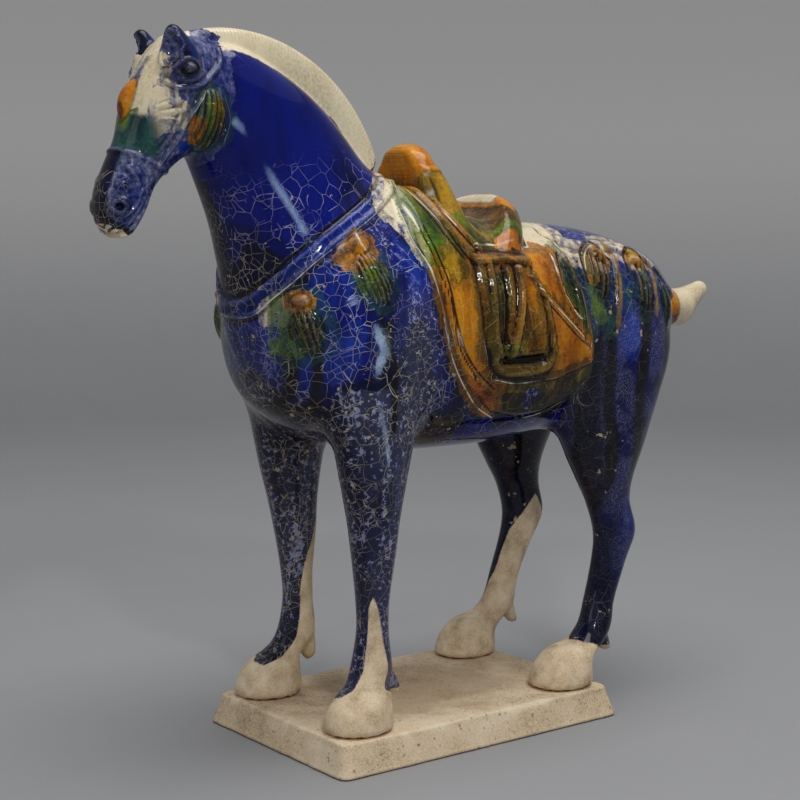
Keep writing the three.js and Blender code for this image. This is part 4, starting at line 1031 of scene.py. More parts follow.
BODY_PAINT = [
    # throat, chest front and the runs below the harness
    ("dark", area([
        (-36, 61), (-34, 50), (-30, 42), (-10, 38), (-12, 44), (-22, 48), (-28, 50), (-30.6, 55),
    ])),
    ("drip", trace([(-29.0, 54.7), (-28.5, 52.1), (-27.6, 46.0)], 0.55)),
    ("drip", trace([(-26.8, 55.5), (-26.2, 52.2), (-25.6, 46.0)], 0.6)),
    ("drip", trace([(-17.2, 58.9), (-16.9, 55.2), (-15.9, 51.9), (-16.3, 44.0)], 0.6)),
    ("dark", area([(-24, 51), (-18, 53), (-14, 55), (-12, 50), (-10, 46), (-10, 42), (-26, 42)])),
    ("dark", area([(-20.5, 64), (-18.5, 64), (-16.5, 58), (-15, 50), (-17.5, 50), (-19.5, 57)])),
    ("dark", area([(-15, 60), (-11, 60), (-8.6, 54), (-7, 46), (-15, 44), (-16, 52)])),
    ("dark", area([(-34, 72), (-30.5, 70), (-26, 66), (-29, 62), (-34, 60)])),
    ("bright", area([(-31.3, 57.8), (-30.5, 59.6), (-29.5, 56.4), (-29.0, 53.2), (-29.9, 52.4)])),
    ("bright", area([
        (-25.5, 54.8), (-24.6, 57.4), (-21.9, 58.6), (-21.4, 56.5), (-22.9, 52.0), (-24.9, 51.6),
    ])),
    ("bright", area([(-28.3, 52.6), (-27.7, 54.4), (-26.8, 52.2), (-26.3, 48.8), (-27.4, 48.7)])),
    ("bright", area([(-26.4, 66.0), (-23.8, 67.4), (-22.6, 65.8), (-24.2, 62.6), (-25.9, 62.4)])),
    ("bright", area([(-13.6, 72.2), (-12.2, 70.7), (-10.7, 68.3), (-10.7, 63.4), (-13.4, 64.4)])),
    ("sheen", area([
        (-18.6, 72.6), (-14.4, 73.4), (-14.2, 68.6), (-13.4, 64.4), (-15.7, 66.0), (-17.8, 69.5),
    ])),
    ("sheen", area([(-14.4, 64.6), (-9.4, 63.4), (-8.2, 55.9), (-7.0, 46.0), (-13.8, 46.5), (-15.4, 56.3)])),
    ("sheen", area([(-31.8, 58.6), (-30.6, 59.6), (-30.4, 54), (-29.0, 48.6), (-30.2, 48.6), (-31.6, 54.4)])),
    # breast strap and its tassels
    ("drip", trace(shifted(BREAST_STRAP, -0.7, 1.3), 0.22)),
    ("pale", trace(shifted(BREAST_STRAP, 0.45, -0.9), 0.06)),
    ("drip", trace(shifted(BREAST_STRAP, 0.7, -1.35), 0.14)),
    ("bright", stroke(BREAST_STRAP, 0.5)),
    ("teal", spot((-18.8, 65.3), 3.0, 4.4, 17)),
    ("green", spot((-19.4, 65.9), 1.6, 3.0, 17)),
    ("ink", spot((-17.4, 62.6), 1.3, 2.2, 17)),
    ("amber", area([
        (-23.6, 67.5), (-22.4, 68.8), (-21.0, 70.2), (-19.6, 71.3), (-18.4, 70.6), (-18.1, 69.0),
        (-19.6, 67.7), (-21.6, 67.0),
    ])),
    ("pale", trace([(-19.8, 71.6), (-20.2, 70.2), (-19.4, 69.2)], 0.17)),
    ("teal", area([
        (-29.8, 62.9), (-27.2, 63.6), (-25.4, 59.7), (-25.1, 56.0), (-26.6, 54.2), (-29.2, 54.0),
    ])),
    ("green", area([
        (-29.9, 62.6), (-28.9, 61.6), (-29.0, 58.7), (-28.4, 55.9), (-29.2, 55.0), (-29.9, 58.6),
    ])),
    ("ink", spot((-27.3, 57.6), 1.0, 2.4, 14)),
    ("amber", spot((-28.3, 62.2), 0.6, 0.7)),
    ("cream", spot((-30.4, 60.6), 0.3, 0.9)),
    # chips of bare clay low on the chest
    ("cream", spot((-20.3, 47.2), 0.7, 0.5)),
    ("cream", spot((-15.8, 47.7), 0.6, 0.8)),
    ("cream", spot((-13.6, 46.9), 0.8, 0.45)),
    # the back, crupper and its tassels
    # lavender over the back: weathering flecks, and a painted reflection of the overhead light
    ("sheen", area([
        (17, 78), (30, 76), (45, 70), (43.5, 66.8), (38, 68.2), (30.4, 70.6), (23.1, 71.2), (17, 71.6),
    ])),
    ("bright", stroke([(19.6, 70.6), (23.4, 69.5), (26.5, 69.7)], 0.5)),
    ("cream", area([
        (17.4, 72.2), (19.8, 70.9), (20.6, 69.2), (23.8, 68.6), (22.6, 66.8), (20.5, 66.6), (18.1, 68.0),
        (14.8, 68.4),
    ])),
    ("cream", area([
        (27.4, 69.6), (31.2, 69.7), (34.0, 68.6), (38.4, 66.6), (36.6, 66.0), (32.2, 67.0),
        (29.0, 68.0),
    ])),
    ("sheen", area([(19.6, 68.4), (20.8, 68.0), (21.0, 60.5), (22.6, 56.2), (20.6, 54.6), (19.6, 58.0)])),
    ("teal", area([(20.6, 65.0), (23.0, 61.4), (26.8, 58.4), (26.0, 55.4), (22.8, 55.6), (21.2, 58.8)])),
    ("green", area([(21.4, 63.0), (23.1, 61.8), (24.0, 58.8), (23.1, 57.4), (22.1, 59.0)])),
    ("teal", spot((24.8, 64.4), 2.2, 4.2, -18)),
    ("ink", spot((25.2, 62.8), 1.2, 2.4, -18)),
    ("olive", area([(22.8, 66.6), (24.2, 67.4), (24.0, 65.5), (23.3, 63.9), (22.3, 64.3)])),
    ("amber", area([(24.4, 67.7), (26.2, 68.3), (27.2, 67.0), (26.2, 65.6), (25.0, 65.6)])),
    ("pale", trace([(22.3, 65.8), (23.0, 67.2), (24.3, 68.3), (25.8, 68.8)], 0.1)),
    ("line", trace([
        (21.7, 63.6), (21.8, 65.8), (22.5, 67.7), (24.1, 69.0), (26.2, 69.3), (27.8, 68.0),
        (28.3, 65.4), (27.4, 61.6), (25.6, 59.4),
    ], 0.24)),
    ("bright", area([(30.4, 68.2), (32.2, 67.8), (31.0, 63.8), (29.2, 63.5)])),
    ("teal", area([(29.2, 64.3), (30.9, 64.3), (31.0, 59.7), (28.5, 59.4)])),
    ("streak", trace([(29.0, 68.8), (29.3, 66.8), (28.2, 63.5), (27.4, 60.2), (26.9, 57.0)], 0.55)),
    ("teal", spot((32.9, 62.4), 2.0, 4.7, -5)),
    ("ink", spot((33.4, 60.4), 1.1, 2.6, -5)),
    ("line", trace([
        (30.9, 64.6), (31.6, 67.4), (33.6, 68.4), (35.3, 67.0), (35.6, 63.0), (34.4, 58.4),
    ], 0.24)),
    ("line", trace([(37.6, 62.4), (38.2, 64.6), (39.8, 64.8), (41.0, 62.4), (41.0, 58.0)], 0.2)),
    ("amber", spot((33.4, 66.7), 1.1, 0.9)),
    ("sheen", area([(37.2, 65.2), (39.4, 64.6), (38.4, 57.5), (36.4, 57.7)])),
    ("streak", trace([(33.2, 67.6), (35.4, 66.8), (36.9, 64.8), (36.4, 61.8), (35.6, 58.6)], 0.55)),
    ("teal", spot((39.4, 60.0), 1.6, 4.2, -4)),
    ("bright", area([(27.9, 59.4), (30.9, 59.5), (32.0, 55.9), (31.2, 52.4), (26.8, 52.8), (27.0, 57.0)])),
    ("drip", trace([(25.4, 58.6), (25.8, 51.4), (26.3, 44.6), (27.5, 32.0)], 1.1)),
    ("drip", trace([(32.9, 60.7), (32.6, 54.9), (31.9, 51.1), (32.2, 44.0), (33.6, 30.0)], 1.25)),
    ("drip", trace([(39.0, 57.6), (38.6, 50.0), (37.8, 42.0), (38.6, 34.0)], 0.85)),
    ("dark", area([(21.0, 56), (24.6, 56), (25.4, 46), (27.6, 30), (31.6, 14), (26, 14), (21, 40)])),
]
CLOTH_PAINT = [
    ("ink", stroke([(-8.6, 62.4), (-7.2, 56.3), (-5.7, 53.0), (-3.1, 48.6), (0.6, 45.8)], 0.8)),
    ("cream", area([
        (-7, 80.5), (-11.0, 79.6), (-14.6, 75.4), (-13.8, 73.4), (-12.2, 71.8), (-11.2, 69.2), (-10.2, 67.4),
        (-9.9, 69.8), (-10.4, 74.0), (-8.6, 77.8),
    ])),
    ("green", area([
        (-10.0, 77.0), (-8.0, 77.6), (-7.6, 74.4), (-6.3, 71.3), (-4.3, 69.1), (-5.4, 67.6), (-6.8, 65.7),
        (-9.0, 65.6), (-10.0, 68.6), (-10.7, 71.3), (-10.9, 73.7),
    ])),
    ("olive", area([(-8.2, 67.8), (-4.3, 69.4), (-1.7, 67.6), (-1.7, 64.0), (-4.4, 62.8), (-7.0, 65.4)])),
    ("amber", area([
        (-8.9, 65.9), (-6.9, 65.4), (-4.6, 63.6), (-1.6, 64.4), (-1.2, 60.2), (-0.9, 54.6), (0.6, 51.6),
        (3.8, 49.3), (4.2, 45.2), (0.8, 45.6), (-3.8, 50.4), (-6.2, 54.7), (-8.2, 61.0),
    ])),
    ("rust", area([
        (-8.3, 62.6), (-7.0, 61.2), (-5.6, 57.0), (-3.4, 53.0), (0.8, 49.8), (3.6, 48.0), (4.2, 45.0),
        (0.8, 45.6), (-3.8, 50.4), (-6.2, 54.7), (-8.2, 61.0),
    ])),
    ("line", trace([
        (-9.3, 75.6), (-8.4, 70.5), (-7.6, 67.5), (-6.5, 63.7), (-5.7, 59.6), (-4.2, 55.1), (-1.3, 51.5),
        (2.4, 48.7),
    ], 0.18)),
    ("ink", area([
        (-0.6, 50.6), (1.4, 48.6), (4.4, 48.6), (11.6, 48.6), (18.5, 49.6), (22.2, 51.2), (22.0, 48.0),
        (18, 44.8), (10, 42.8), (5, 43.6), (4.4, 46.0), (3.0, 48.0),
    ])),
    ("sheen", area([(7.7, 48.9), (11.3, 48.8), (11.9, 46.4), (10.0, 44.0), (8.4, 45.4)])),
    ("umber", area([(12.6, 48.6), (17.9, 49.6), (16.6, 46.2), (13.4, 45.0)])),
    ("green", stroke([(14.4, 44.4), (18.4, 46.6), (20.8, 49.6)], 0.5)),
    ("pale", trace([
        (-11.3, 74.9), (-11.3, 70.8), (-9.9, 67.4), (-9.0, 64.8), (-8.0, 61.2), (-6.3, 54.9), (-4.2, 51.0),
        (-1.5, 47.8), (1.0, 45.6), (4.5, 43.8),
    ], 0.09)),
    ("pale", trace([(11.4, 43.2), (14.8, 43.9), (18.5, 46.0), (21.4, 49.6)], 0.08)),
    # the strap between two pale lines
    ("green", area([
        (-1.7, 80.0), (-0.7, 78.2), (0.1, 75.7), (0.7, 73.0), (1.2, 70.1), (1.4, 68.6), (-1.0, 68.4),
        (-2.2, 71.8), (-2.8, 75.1), (-4.0, 78.0),
    ])),
    ("olive", stroke([(-6.4, 79.0), (-5.4, 76.4), (-4.0, 72.9), (-2.2, 70.2), (-0.9, 68.2)], 1.0)),
    ("amber", stroke([(-5.4, 77.4), (-4.5, 75.2), (-3.1, 72.3), (-1.4, 69.8)], 0.4)),
    ("pale", trace([(-5.0, 79.0), (-4.0, 76.4), (-2.9, 73.4), (-1.3, 70.9), (0.1, 68.6)], 0.08)),
    ("pale", trace([(-7.6, 78.4), (-6.8, 75.6), (-5.3, 72.6), (-3.8, 70.1), (-2.2, 68.1)], 0.08)),
    ("line", trace([(-7.5, 75.8), (-6.1, 72.3), (-4.7, 69.9), (-3.1, 67.8)], 0.26)),
    ("pale", trace([(-9.9, 75.0), (-9.6, 72.0)], 0.22)),
    ("cream", area([(-3.1, 77.6), (-2.0, 78.1), (-1.9, 76.8), (-2.9, 75.7)])),
    # folds and the flap
    ("umber", stroke([(-3.8, 66.0), (-3.6, 62.0), (-2.8, 57.0), (-1.2, 53.0), (1.6, 50.4)], 0.7)),
    ("olive", area([
        (-0.7, 66.0), (1.4, 66.0), (1.2, 60.2), (1.7, 56.0), (2.0, 53.2), (4.9, 51.9), (9.1, 52.0),
        (10.5, 53.6), (10.3, 57.0), (11.3, 57.0), (12.2, 53.0), (11.0, 50.9), (4.9, 50.5), (1.2, 51.6),
        (-0.2, 54.6), (-0.5, 61.3),
    ], 2)),
    ("umber", area([
        (6.6, 66.0), (9.8, 65.0), (10.6, 60.0), (10.7, 55.6), (10.4, 53.0), (7.0, 53.2), (5.4, 56.4),
        (6.0, 60.0),
    ])),
    ("amber", stroke([(8.6, 65.0), (8.9, 61.0), (9.3, 57.4)], 0.55)),
    ("ink", area([
        (1.5, 65.9), (5.6, 65.8), (5.0, 60.0), (3.8, 56.2), (2.2, 53.0), (1.3, 54.0), (1.6, 60.1),
    ])),
    ("green", area([(2.0, 64.8), (4.3, 64.4), (3.9, 60.4), (2.5, 60.2)])),
    ("amber", stroke([(6.3, 65.8), (6.0, 62.2), (5.3, 58.6), (4.6, 56.4)], 0.5)),
    ("green", area([(4.3, 57.2), (5.3, 56.6), (7.0, 53.5), (3.4, 53.0)])),
    ("ink", area([(1.7, 53.2), (4.9, 53.5), (10.4, 53.2), (10.1, 52.2), (5.0, 52.0)])),
    ("amber", area([
        (9.4, 64.2), (12.3, 61.2), (16.7, 57.4), (20.3, 54.8), (20.4, 52.2), (14.2, 50.3), (11.9, 50.5),
        (12.5, 53.1), (11.7, 56.9), (10.9, 60.8),
    ], 2)),
    ("rust", area([(12.2, 52.5), (15.4, 52.7), (20.0, 53.0), (18.0, 51.0), (11.9, 50.2)])),
    ("line", trace([(1.8, 50.6), (6.1, 50.0), (10.7, 50.4), (11.7, 51.2)], 0.35)),
    ("umber", stroke([(12.6, 58.4), (16.0, 55.7), (18.4, 54.0)], 0.25)),
    ("line", trace([(10.6, 61.4), (13.0, 59.2), (16.3, 56.2), (19.0, 54.4)], 0.16)),
    ("pale", trace([(9.8, 63.4), (12.6, 60.6), (16.3, 57.4), (19.6, 54.8)], 0.08)),
    ("ink", stroke([(10.2, 64.4), (10.7, 60.6), (11.6, 56.0), (11.6, 53.4)], 0.28)),
    ("ink", stroke([
        (-0.9, 65.9), (-0.7, 60.0), (0.2, 54.0), (2.4, 50.9), (7.0, 50.0), (13.0, 50.0), (19, 51.4),
    ], 0.3)),
    ("pale", trace([(20.7, 54.3), (20.5, 51.9), (17.6, 50.5), (12.7, 49.7), (6.9, 49.2), (2.6, 49.9)], 0.08)),
    # knot, lip and the panel behind
    ("amber", stroke([(-1.2, 67.3), (3.1, 66.9), (9.2, 66.7)], 1.0)),
    ("umber", stroke([(2.0, 67.3), (4.0, 67.3)], 0.3)),
    ("ink", area([(0.8, 68.7), (3.0, 68.3), (7.6, 68.3), (8.8, 69.0), (5.4, 68.9)])),
    ("pale", trace([(0.6, 69.3), (3.6, 69.3), (6.0, 69.2), (8.8, 70.0)], 0.15)),
    ("cream", area([
        (22.4, 73.6), (22.0, 71.8), (19.9, 69.6), (17.9, 67.9), (14.7, 67.8), (11.6, 68.0),
        (11.0, 70.0), (12.4, 74), (17, 76),
    ])),
    ("amber", area([
        (10.2, 67.4), (12.0, 68.6), (15.2, 68.2), (16.8, 67.2), (15.7, 63.5), (17.3, 59.4),
        (17.8, 57.4), (14.0, 60.8), (10.6, 64.2),
    ])),
    ("teal", area([
        (16.7, 68.0), (18.2, 68.5), (19.1, 65.6), (19.0, 61.6), (19.2, 58.2), (17.4, 59.4),
        (16.3, 63.8),
    ])),
    ("green", area([(16.6, 63.0), (17.6, 62.4), (18.4, 58.8), (17.3, 59.4)])),
    ("pale", trace([(16.2, 67.4), (15.7, 64.0), (16.6, 60.6), (18.0, 58.6), (19.1, 58.2)], 0.10)),
    ("sheen", stroke([(18.8, 68.9), (19.8, 65.9), (19.8, 61.5), (20.3, 56.7)], 0.55)),
    ("pale", trace([(18.6, 69.0), (19.5, 65.9), (19.5, 61.5), (19.9, 57.2)], 0.13)),
]
HEAD_PAINT = [
    ("steel", area([
        (-56, 84), (-49.5, 92), (-46.5, 99), (-34, 101), (-35.6, 95), (-38, 83), (-45, 76), (-48, 70),
        (-56, 70),
    ])),
    ("bright", area([(-45.0, 84.8), (-42.6, 84.6), (-40.0, 83.6), (-41.4, 82.2), (-44.0, 82.0)])),
    ("bright", area([(-51.0, 75.6), (-50.0, 76.6), (-48.8, 77.0), (-49.2, 75.0), (-50.6, 73.8)])),
    ("dark", stroke([(-47.3, 76.6), (-46.4, 78.6), (-45.2, 80.1), (-42.6, 80.6)], 0.8)),
    ("cream", area([
        (-46.0, 94.6), (-47.4, 92.1), (-48.4, 90.7), (-48.3, 89.5), (-47.8, 88.7), (-48.2, 86.9),
        (-47.9, 84.8), (-46.9, 85.2), (-46.2, 85.9), (-44.6, 86.0), (-43.2, 87.6), (-44.6, 89.0),
        (-45.2, 90.0), (-45.4, 91.1), (-46.2, 91.4), (-46.2, 92.6),
    ])),
    ("dark", spot((-43.0, 93.3), 2.4, 1.5, 10)),
    ("bright", stroke(CHEEK_BAND, 0.6)),
    ("dark", stroke(LOWER_LID, 0.3)),
    ("ink", area([
        (-45.0, 93.7), (-44.1, 94.3), (-42.8, 94.4), (-41.5, 93.8), (-41.5, 92.9), (-43.0, 92.6),
        (-44.6, 92.7),
    ])),
    ("ink", spot((-43.0, 93.3), 1.7, 1.25, 20)),
    ("pale", trace(shifted(CHEEK_STRAP, 0.3, 0.1), 0.05)),
    ("teal", spot((-39.2, 86.9), 2.9, 4.2, -8)),
    ("green", spot((-39.8, 87.2), 1.2, 3.0, -8)),
    ("ink", spot((-38.7, 85.2), 1.0, 1.8, -8)),
    ("amber", spot((-41.4, 85.4), 0.3, 0.8, 0)),
    ("olive", stroke([(-38.5, 88.8), (-38.3, 87.0)], 0.1)),
    ("pale", trace([(-36.9, 90.0), (-36.3, 87.0), (-37.0, 84.0)], 0.04)),
    ("ink", spot(NOSTRIL, 0.45, 0.5, -20)),
    ("pale", trace(shifted(MOUTH, -0.3, -0.15), 0.10)),
    ("line", trace(MOUTH, 0.10)),
]


# Where the glaze stops on each leg: angle round it in degrees from its front towards +X, and height
GLAZE_END = {
    "left_fore": [
        (-30, 4.6), (0, 5.2), (22, 6.4), (33, 8.9), (36, 12.7), (40, 17.9), (58, 19.9), (77, 17.3),
        (97, 12.5), (118, 9.2), (124, 6.0), (165, 4.8), (200, 5.6), (240, 9.0), (280, 6.2), (330, 4.6),
        (360, 5.2), (390, 7),
    ],
    "right_fore": [
        (-30, 6.0), (0, 5.3), (34, 5.1), (60, 6.2), (62, 10.4), (68, 16), (84, 20.1), (112, 24.0),
        (135, 27.5), (160, 25.0), (185, 17.0), (215, 9.0), (250, 7.2), (300, 6.2), (360, 5.3),
        (390, 5.1),
    ],
    "left_hind": [
        (-30, 6.4), (8, 6.8), (43, 6.6), (93, 6.0), (130, 5.2), (180, 4.8), (230, 6.5), (270, 9.5),
        (310, 7.4), (360, 6.8), (390, 6.6),
    ],
    "right_hind": [
        (-30, 8.6), (-12, 11.6), (8, 13.6), (13, 17.6), (20, 20.6), (43, 23.0), (80, 25.4), (112, 26.6),
        (145, 22.0), (175, 12.0), (210, 7.2), (260, 6.2), (330, 8.6), (348, 11.6), (368, 13.6), (390, 21.6),
    ],
}
LEG_TOP = 34.0


def leg_depth(points, name):
    """How far below the end of the glaze a point of a leg is, and which points are on that leg."""
    x, y, z = points.T
    side = 1 if name.startswith("left") else -1
    form, back = (FORELEG, RIGHT_FORELEG_BACK) if "fore" in name else (HINDLEG, RIGHT_HINDLEG_BACK)
    on_leg = (x * side > 0) & ((y < 0) == ("fore" in name)) & (z < LEG_TOP)
    centre_y, _, _, centre_x = section_at(form["rows"], z)
    centre_y = centre_y + back_of(back, x, z)
    angle = np.degrees(np.arctan2(x - side * centre_x, centre_y - y))
    angle = np.where(angle < -20, angle + 360, angle)
    table = np.array(GLAZE_END[name], float)
    arc = math.radians(1) * 2.8
    outline = np.vstack([table * (arc, 1), [(table[-1][0] * arc, -9), (table[0][0] * arc, -9)]])
    return -line_distance(outline, angle * arc, z, closed=True), on_leg


def tassel_strands(y, z):
    """How far inside a tassel a point is, and its place across the strands, in strands."""
    inside = np.full(y.shape, -FAR)
    strand = np.zeros(y.shape)
    for centre, across_half, along_half, lean, _, strands in TASSELS + [CHEEK_TASSEL]:
        u, v = oval_place(y, z, centre, across_half, along_half, lean)
        depth = (1 - np.hypot(u, v)) * across_half
        nearer = depth > inside
        inside = np.where(nearer, depth, inside)
        strand = np.where(nearer, strands * u / 2 * (1 + 0.25 * v), strand)
    return inside, strand


def oval(u, v, half_u, half_v):
    """How far inside an oval a point is."""
    return min(half_u, half_v) * (1 - np.hypot(u / half_u, v / half_v))


def mane_frame(side, y, z):
    """Radius and angle round the mane's arc, and how far inside its cream glaze a point is."""
    radius = np.hypot(y - MANE["y"], z - MANE["z"])
    angle = np.degrees(np.arctan2(z - MANE["z"], y - MANE["y"]))
    mane = np.minimum(radius - (MANE["outer"] - MANE_WIDTH + 0.3 * np.sin(angle / 5)), 3.4 - side)
    mane = np.minimum(mane, (angle - MANE["from"] + 4) / 2)
    return radius, angle, mane


def paint_coat(p, trunk, mane, angle):
    """The cream of the mane and the runs of blue on trunk and legs."""
    x, y, z = p.x, p.y, p.z
    on_mane = (z > 74) & (y < 2) & (angle < 118)
    p.lay("cream", mane, on_mane)

    fore = (y < 0) & (z < 50)
    hind = (y > 0) & (z < 34)
    p.lay("dark", np.minimum((46.0 - z) * 0.22, 0.45), fore & (x > 0))
    p.lay("dark", np.minimum(46.0 - z, y + 15.0) * 0.5, fore & (x > 0))
    p.lay("dark", (50.0 - z) * 0.35, fore & (x < 0))
    p.lay("dark", np.minimum(26.0 - z, 31.0 - y) * 0.35, hind & (x > 0))
    p.lay("dark", np.minimum(60.0 - z, 8.0), (y > 8) & (x < 0) & (z < 62))
    p.lay("dark", least(1.2 - x, x + 9.0, z - 58, 86 - z) * 0.8, trunk & (y < -24))
    p.table(BODY_PAINT, trunk)


def paint_tail(p, trunk):
    y, z, side = p.y, p.z, p.side
    tail = trunk & (side < 10) & (y > 40)
    root = least(54.6 - y, y - 41.5, 9.2 - side, 63.0 - z)
    p.lay("amber", root, tail & (z > 49))
    p.lay("rust", np.minimum(root, np.maximum(57.0 - z, 47.0 - y)), tail & (z > 49))
    p.lay("cream", y - 54.4, tail & (z > 52))


def paint_saddle(p, trunk):
    """The saddle and its cloth, over the coat."""
    x, y, z, side = p.x, p.y, p.z, p.side
    cloth = trunk & (y > -16) & (y < 26) & (z > 40)
    p.lay("ground", np.where(cloth, -line_distance(CLOTH, y, z, closed=True), -FAR), cloth)
    p.table(CLOTH_PAINT, cloth)
    pommel_height, pommel_off, _ = arch_frame(POMMEL, y, z)
    cantle_height, cantle_off, _ = arch_frame(CANTLE, y, z)
    on_pommel = cloth & (np.abs(pommel_off) < 3.4) & (y < 2.5) & (side < 9.5) & (pommel_height > 9)
    p.lay("amber", np.minimum(z - 78.1 + 0.2 * x, 3.6), on_pommel)
    p.lay("olive", np.minimum(80.6 - z, y + 3.4) * 0.6, on_pommel)
    # a cream spot on the pommel's near side: a painted highlight
    p.lay("cream", oval(y + 2.4, z - 77.0, 0.6, 1.1), on_pommel & (x > 5))
    on_cantle = cloth & (np.abs(cantle_off) < 3.2) & (cantle_height > 6.2) & (y > 3.0) & (z > 68.8)
    p.lay("amber", np.minimum(2.5, cantle_height - 5.4), on_cantle)
    p.lay("umber", np.minimum(cantle_off + 0.2, 12.2 - side), on_cantle)
    p.lay("green", least(11.2 - side, 14.6 - cantle_height, 1.4 - cantle_off) * 0.6, on_cantle)
    p.lay("umber", least(9.6 - side, 15.2 - cantle_height, 0.9 - cantle_off) * 0.6, on_cantle)
    # cream on the cantle's top: cream glaze, and a painted highlight
    p.lay("cream", least(cantle_height - 15.4, 4.6 - x, cantle_off + 3.2), on_cantle)
    seat = cloth & (pommel_off < -1.7) & (cantle_off > 1.7) & (side < 13.5) & (z > 68.6)
    p.lay("olive", np.minimum(cantle_off - 1.4, -1.4 - pommel_off), seat)
    p.lay("green", np.minimum(cantle_off - 2.4, -2.0 - pommel_off), seat & (side < 10))


def paint_head(p, on_head, along, face):
    """Face, leaf, lips and ears."""
    x, y, z, side = p.x, p.y, p.z, p.side
    p.table(HEAD_PAINT, on_head, 2.0)
    front = on_head & (face > 0)
    p.lay("cream", least(3.0 - along, 2.4 - side, along + 3.0) * 2, front)
    p.lay("cream", least(along - 1.0, 12.8 - along, 1.2 - np.abs(side - 2.7)) * 1.4, front)
    p.lay("green", least(3.0 - side, along - 12.0 + 0.5 * side, 15.0 - along) * 1.2, front)
    p.lay("teal", least(1.6 - np.abs(side - 3.0), along - 11.4, 16.4 - along) * 0.8, front)
    p.lay("teal", least(2.2 - side, along - 13.4, 18.4 - along) * 0.4, front & (face > 1))
    p.lay("dark", np.minimum(2.4 - side, along - 16.4), front & (face > 2.0) & (along < 27))
    p.lay("amber", oval(x, along - LEAF["along"], 1.8, 3.0) * 1.4, front)
    p.lay("rust", oval(x, along - 11.4, 0.9, 1.2), front)
    lips = np.sin(1.9 * side + 4.6 * along) * np.sin(5.1 * z - 1.3 * side)
    p.lay("ink", (along - 26.2 + 0.1 * face) * 2, on_head)
    p.lay("bare", np.minimum((along - 26.9 + 0.1 * face) * 3, (0.45 - lips) * 0.9), on_head)
    ear = on_head & (z > 94.8) & (along < 2.6)
    hollow = -ear_hollow(x, y, z)
    ear &= ear_distance(x, y, z) < 0.3
    p.lay("dark", 0.6 + 0 * z, ear)
    p.lay("bright", (0.5 - np.abs(y + 42.4 + 0.3 * (z - 96))) * 1.2, ear)
    p.lay("steel", (hollow + 0.45) * 1.6, ear)


def paint_legs(p, points):
    """Where the glaze of the legs ends, and the bloom on it."""
    x, y, z = p.x, p.y, p.z
    for name in GLAZE_END:
        depth, on_leg = leg_depth(points, name)
        p.coats["bare"] = np.where(on_leg, np.maximum(p.coats["bare"], depth * p.unit), p.coats["bare"])
    fore_leg = (y < -8) & (z < 50)
    p.lay("sheen", least(50.0 - z, 3.0, y + 24.0), fore_leg & (x > 0))
    p.lay("sheen", np.minimum(44.0 - z, z - 6.0) * 0.1, fore_leg & (x < 0))


def paint_horse(points, unit):
    """Every value that the glaze's material reads, at each point."""
    p = Paint(points, unit)
    y, z, side = p.y, p.z, p.side
    along, face = head_frame(y, z)
    on_head = (y < -34) & (z > 68) & (along > -4) & (along < 30) & (face > -9)
    trunk = ~on_head & (z > 24)
    radius, angle, mane = mane_frame(side, y, z)
    paint_coat(p, trunk, mane, angle)
    paint_tail(p, trunk)
    paint_saddle(p, trunk)
    paint_head(p, on_head, along, face)
    paint_legs(p, points)
    inside, strand = tassel_strands(y, z)
    calm_neck = least(z - 79.5 - 0.25 * (y + 30), 96 - z, y + 38)
    extra = {
        # where the glaze is smooth, where the crackle is wide, and where it is fine
        "calm": np.where(on_head & (along < 20), 2, calm_neck) * unit,
        "wide": (z - 70.5 + 0.75 * (y + 22)) * unit * (y < -6),
        "fine": np.minimum(y - 20.5, 59.0 - z) * unit,
        "comb": angle,
        "fringe": least(mane, radius - MANE["outer"] + 2.4, (104 - angle) / 2) * unit,
        "tassel": inside * unit,
        "strand": strand,
    }
    return {**p.coats, **{name + "_across": off for name, off in p.across.items()}, **extra}


def build_mesh(name, points, faces):
    mesh = bpy.data.meshes.new(name)
    mesh.vertices.add(len(points))
    mesh.vertices.foreach_set("co", np.ascontiguousarray(points, np.float32).ravel())
    mesh.loops.add(faces.size)
    mesh.loops.foreach_set("vertex_index", np.ascontiguousarray(faces, np.int32).ravel())
    mesh.polygons.add(len(faces))
    mesh.polygons.foreach_set("loop_start", np.arange(0, faces.size, faces.shape[1], dtype=np.int32))
    mesh.polygons.foreach_set("loop_total", np.full(len(faces), faces.shape[1], np.int32))
    mesh.update(calc_edges=True)
    mesh.validate()
    mesh.shade_smooth()
    piece = bpy.data.objects.new(name, mesh)
    bpy.context.scene.collection.objects.link(piece)
    return piece


def keep_value(mesh, name, values):
    attribute = mesh.attributes.new(name, "FLOAT", "POINT")
    attribute.data.foreach_set("value", np.ascontiguousarray(values, np.float32))


# Shader maths


class Value:
    """A number that a shader works out; maths on it adds Math nodes."""

    def __init__(self, shader, socket):
        self.shader = shader
        self.socket = socket

    def _math(self, operation, *values):
        return self.shader.node("ShaderNodeMath", {"operation": operation}, dict(enumerate(values)))

    def __add__(self, other):
        return self._math("ADD", self, other)

    __radd__ = __add__

    def __sub__(self, other):
        return self._math("SUBTRACT", self, other)

    def __rsub__(self, other):
        return self._math("SUBTRACT", other, self)

    def __mul__(self, other):
        return self._math("MULTIPLY", self, other)

    __rmul__ = __mul__

    def __abs__(self):
        return self._math("ABSOLUTE", self)

    def most(self, other):
        return self._math("MAXIMUM", self, other)

    def sine(self):
        return self._math("SINE", self)

    def rise(self, start, end, low=0.0, high=1.0):
        """Goes smoothly from low to high while the value goes from start to end."""
        return self.shader.node(
            "ShaderNodeMapRange",
            {"interpolation_type": "SMOOTHSTEP"},
            {"Value": self, "From Min": start, "From Max": end, "To Min": low, "To Max": high},
        )


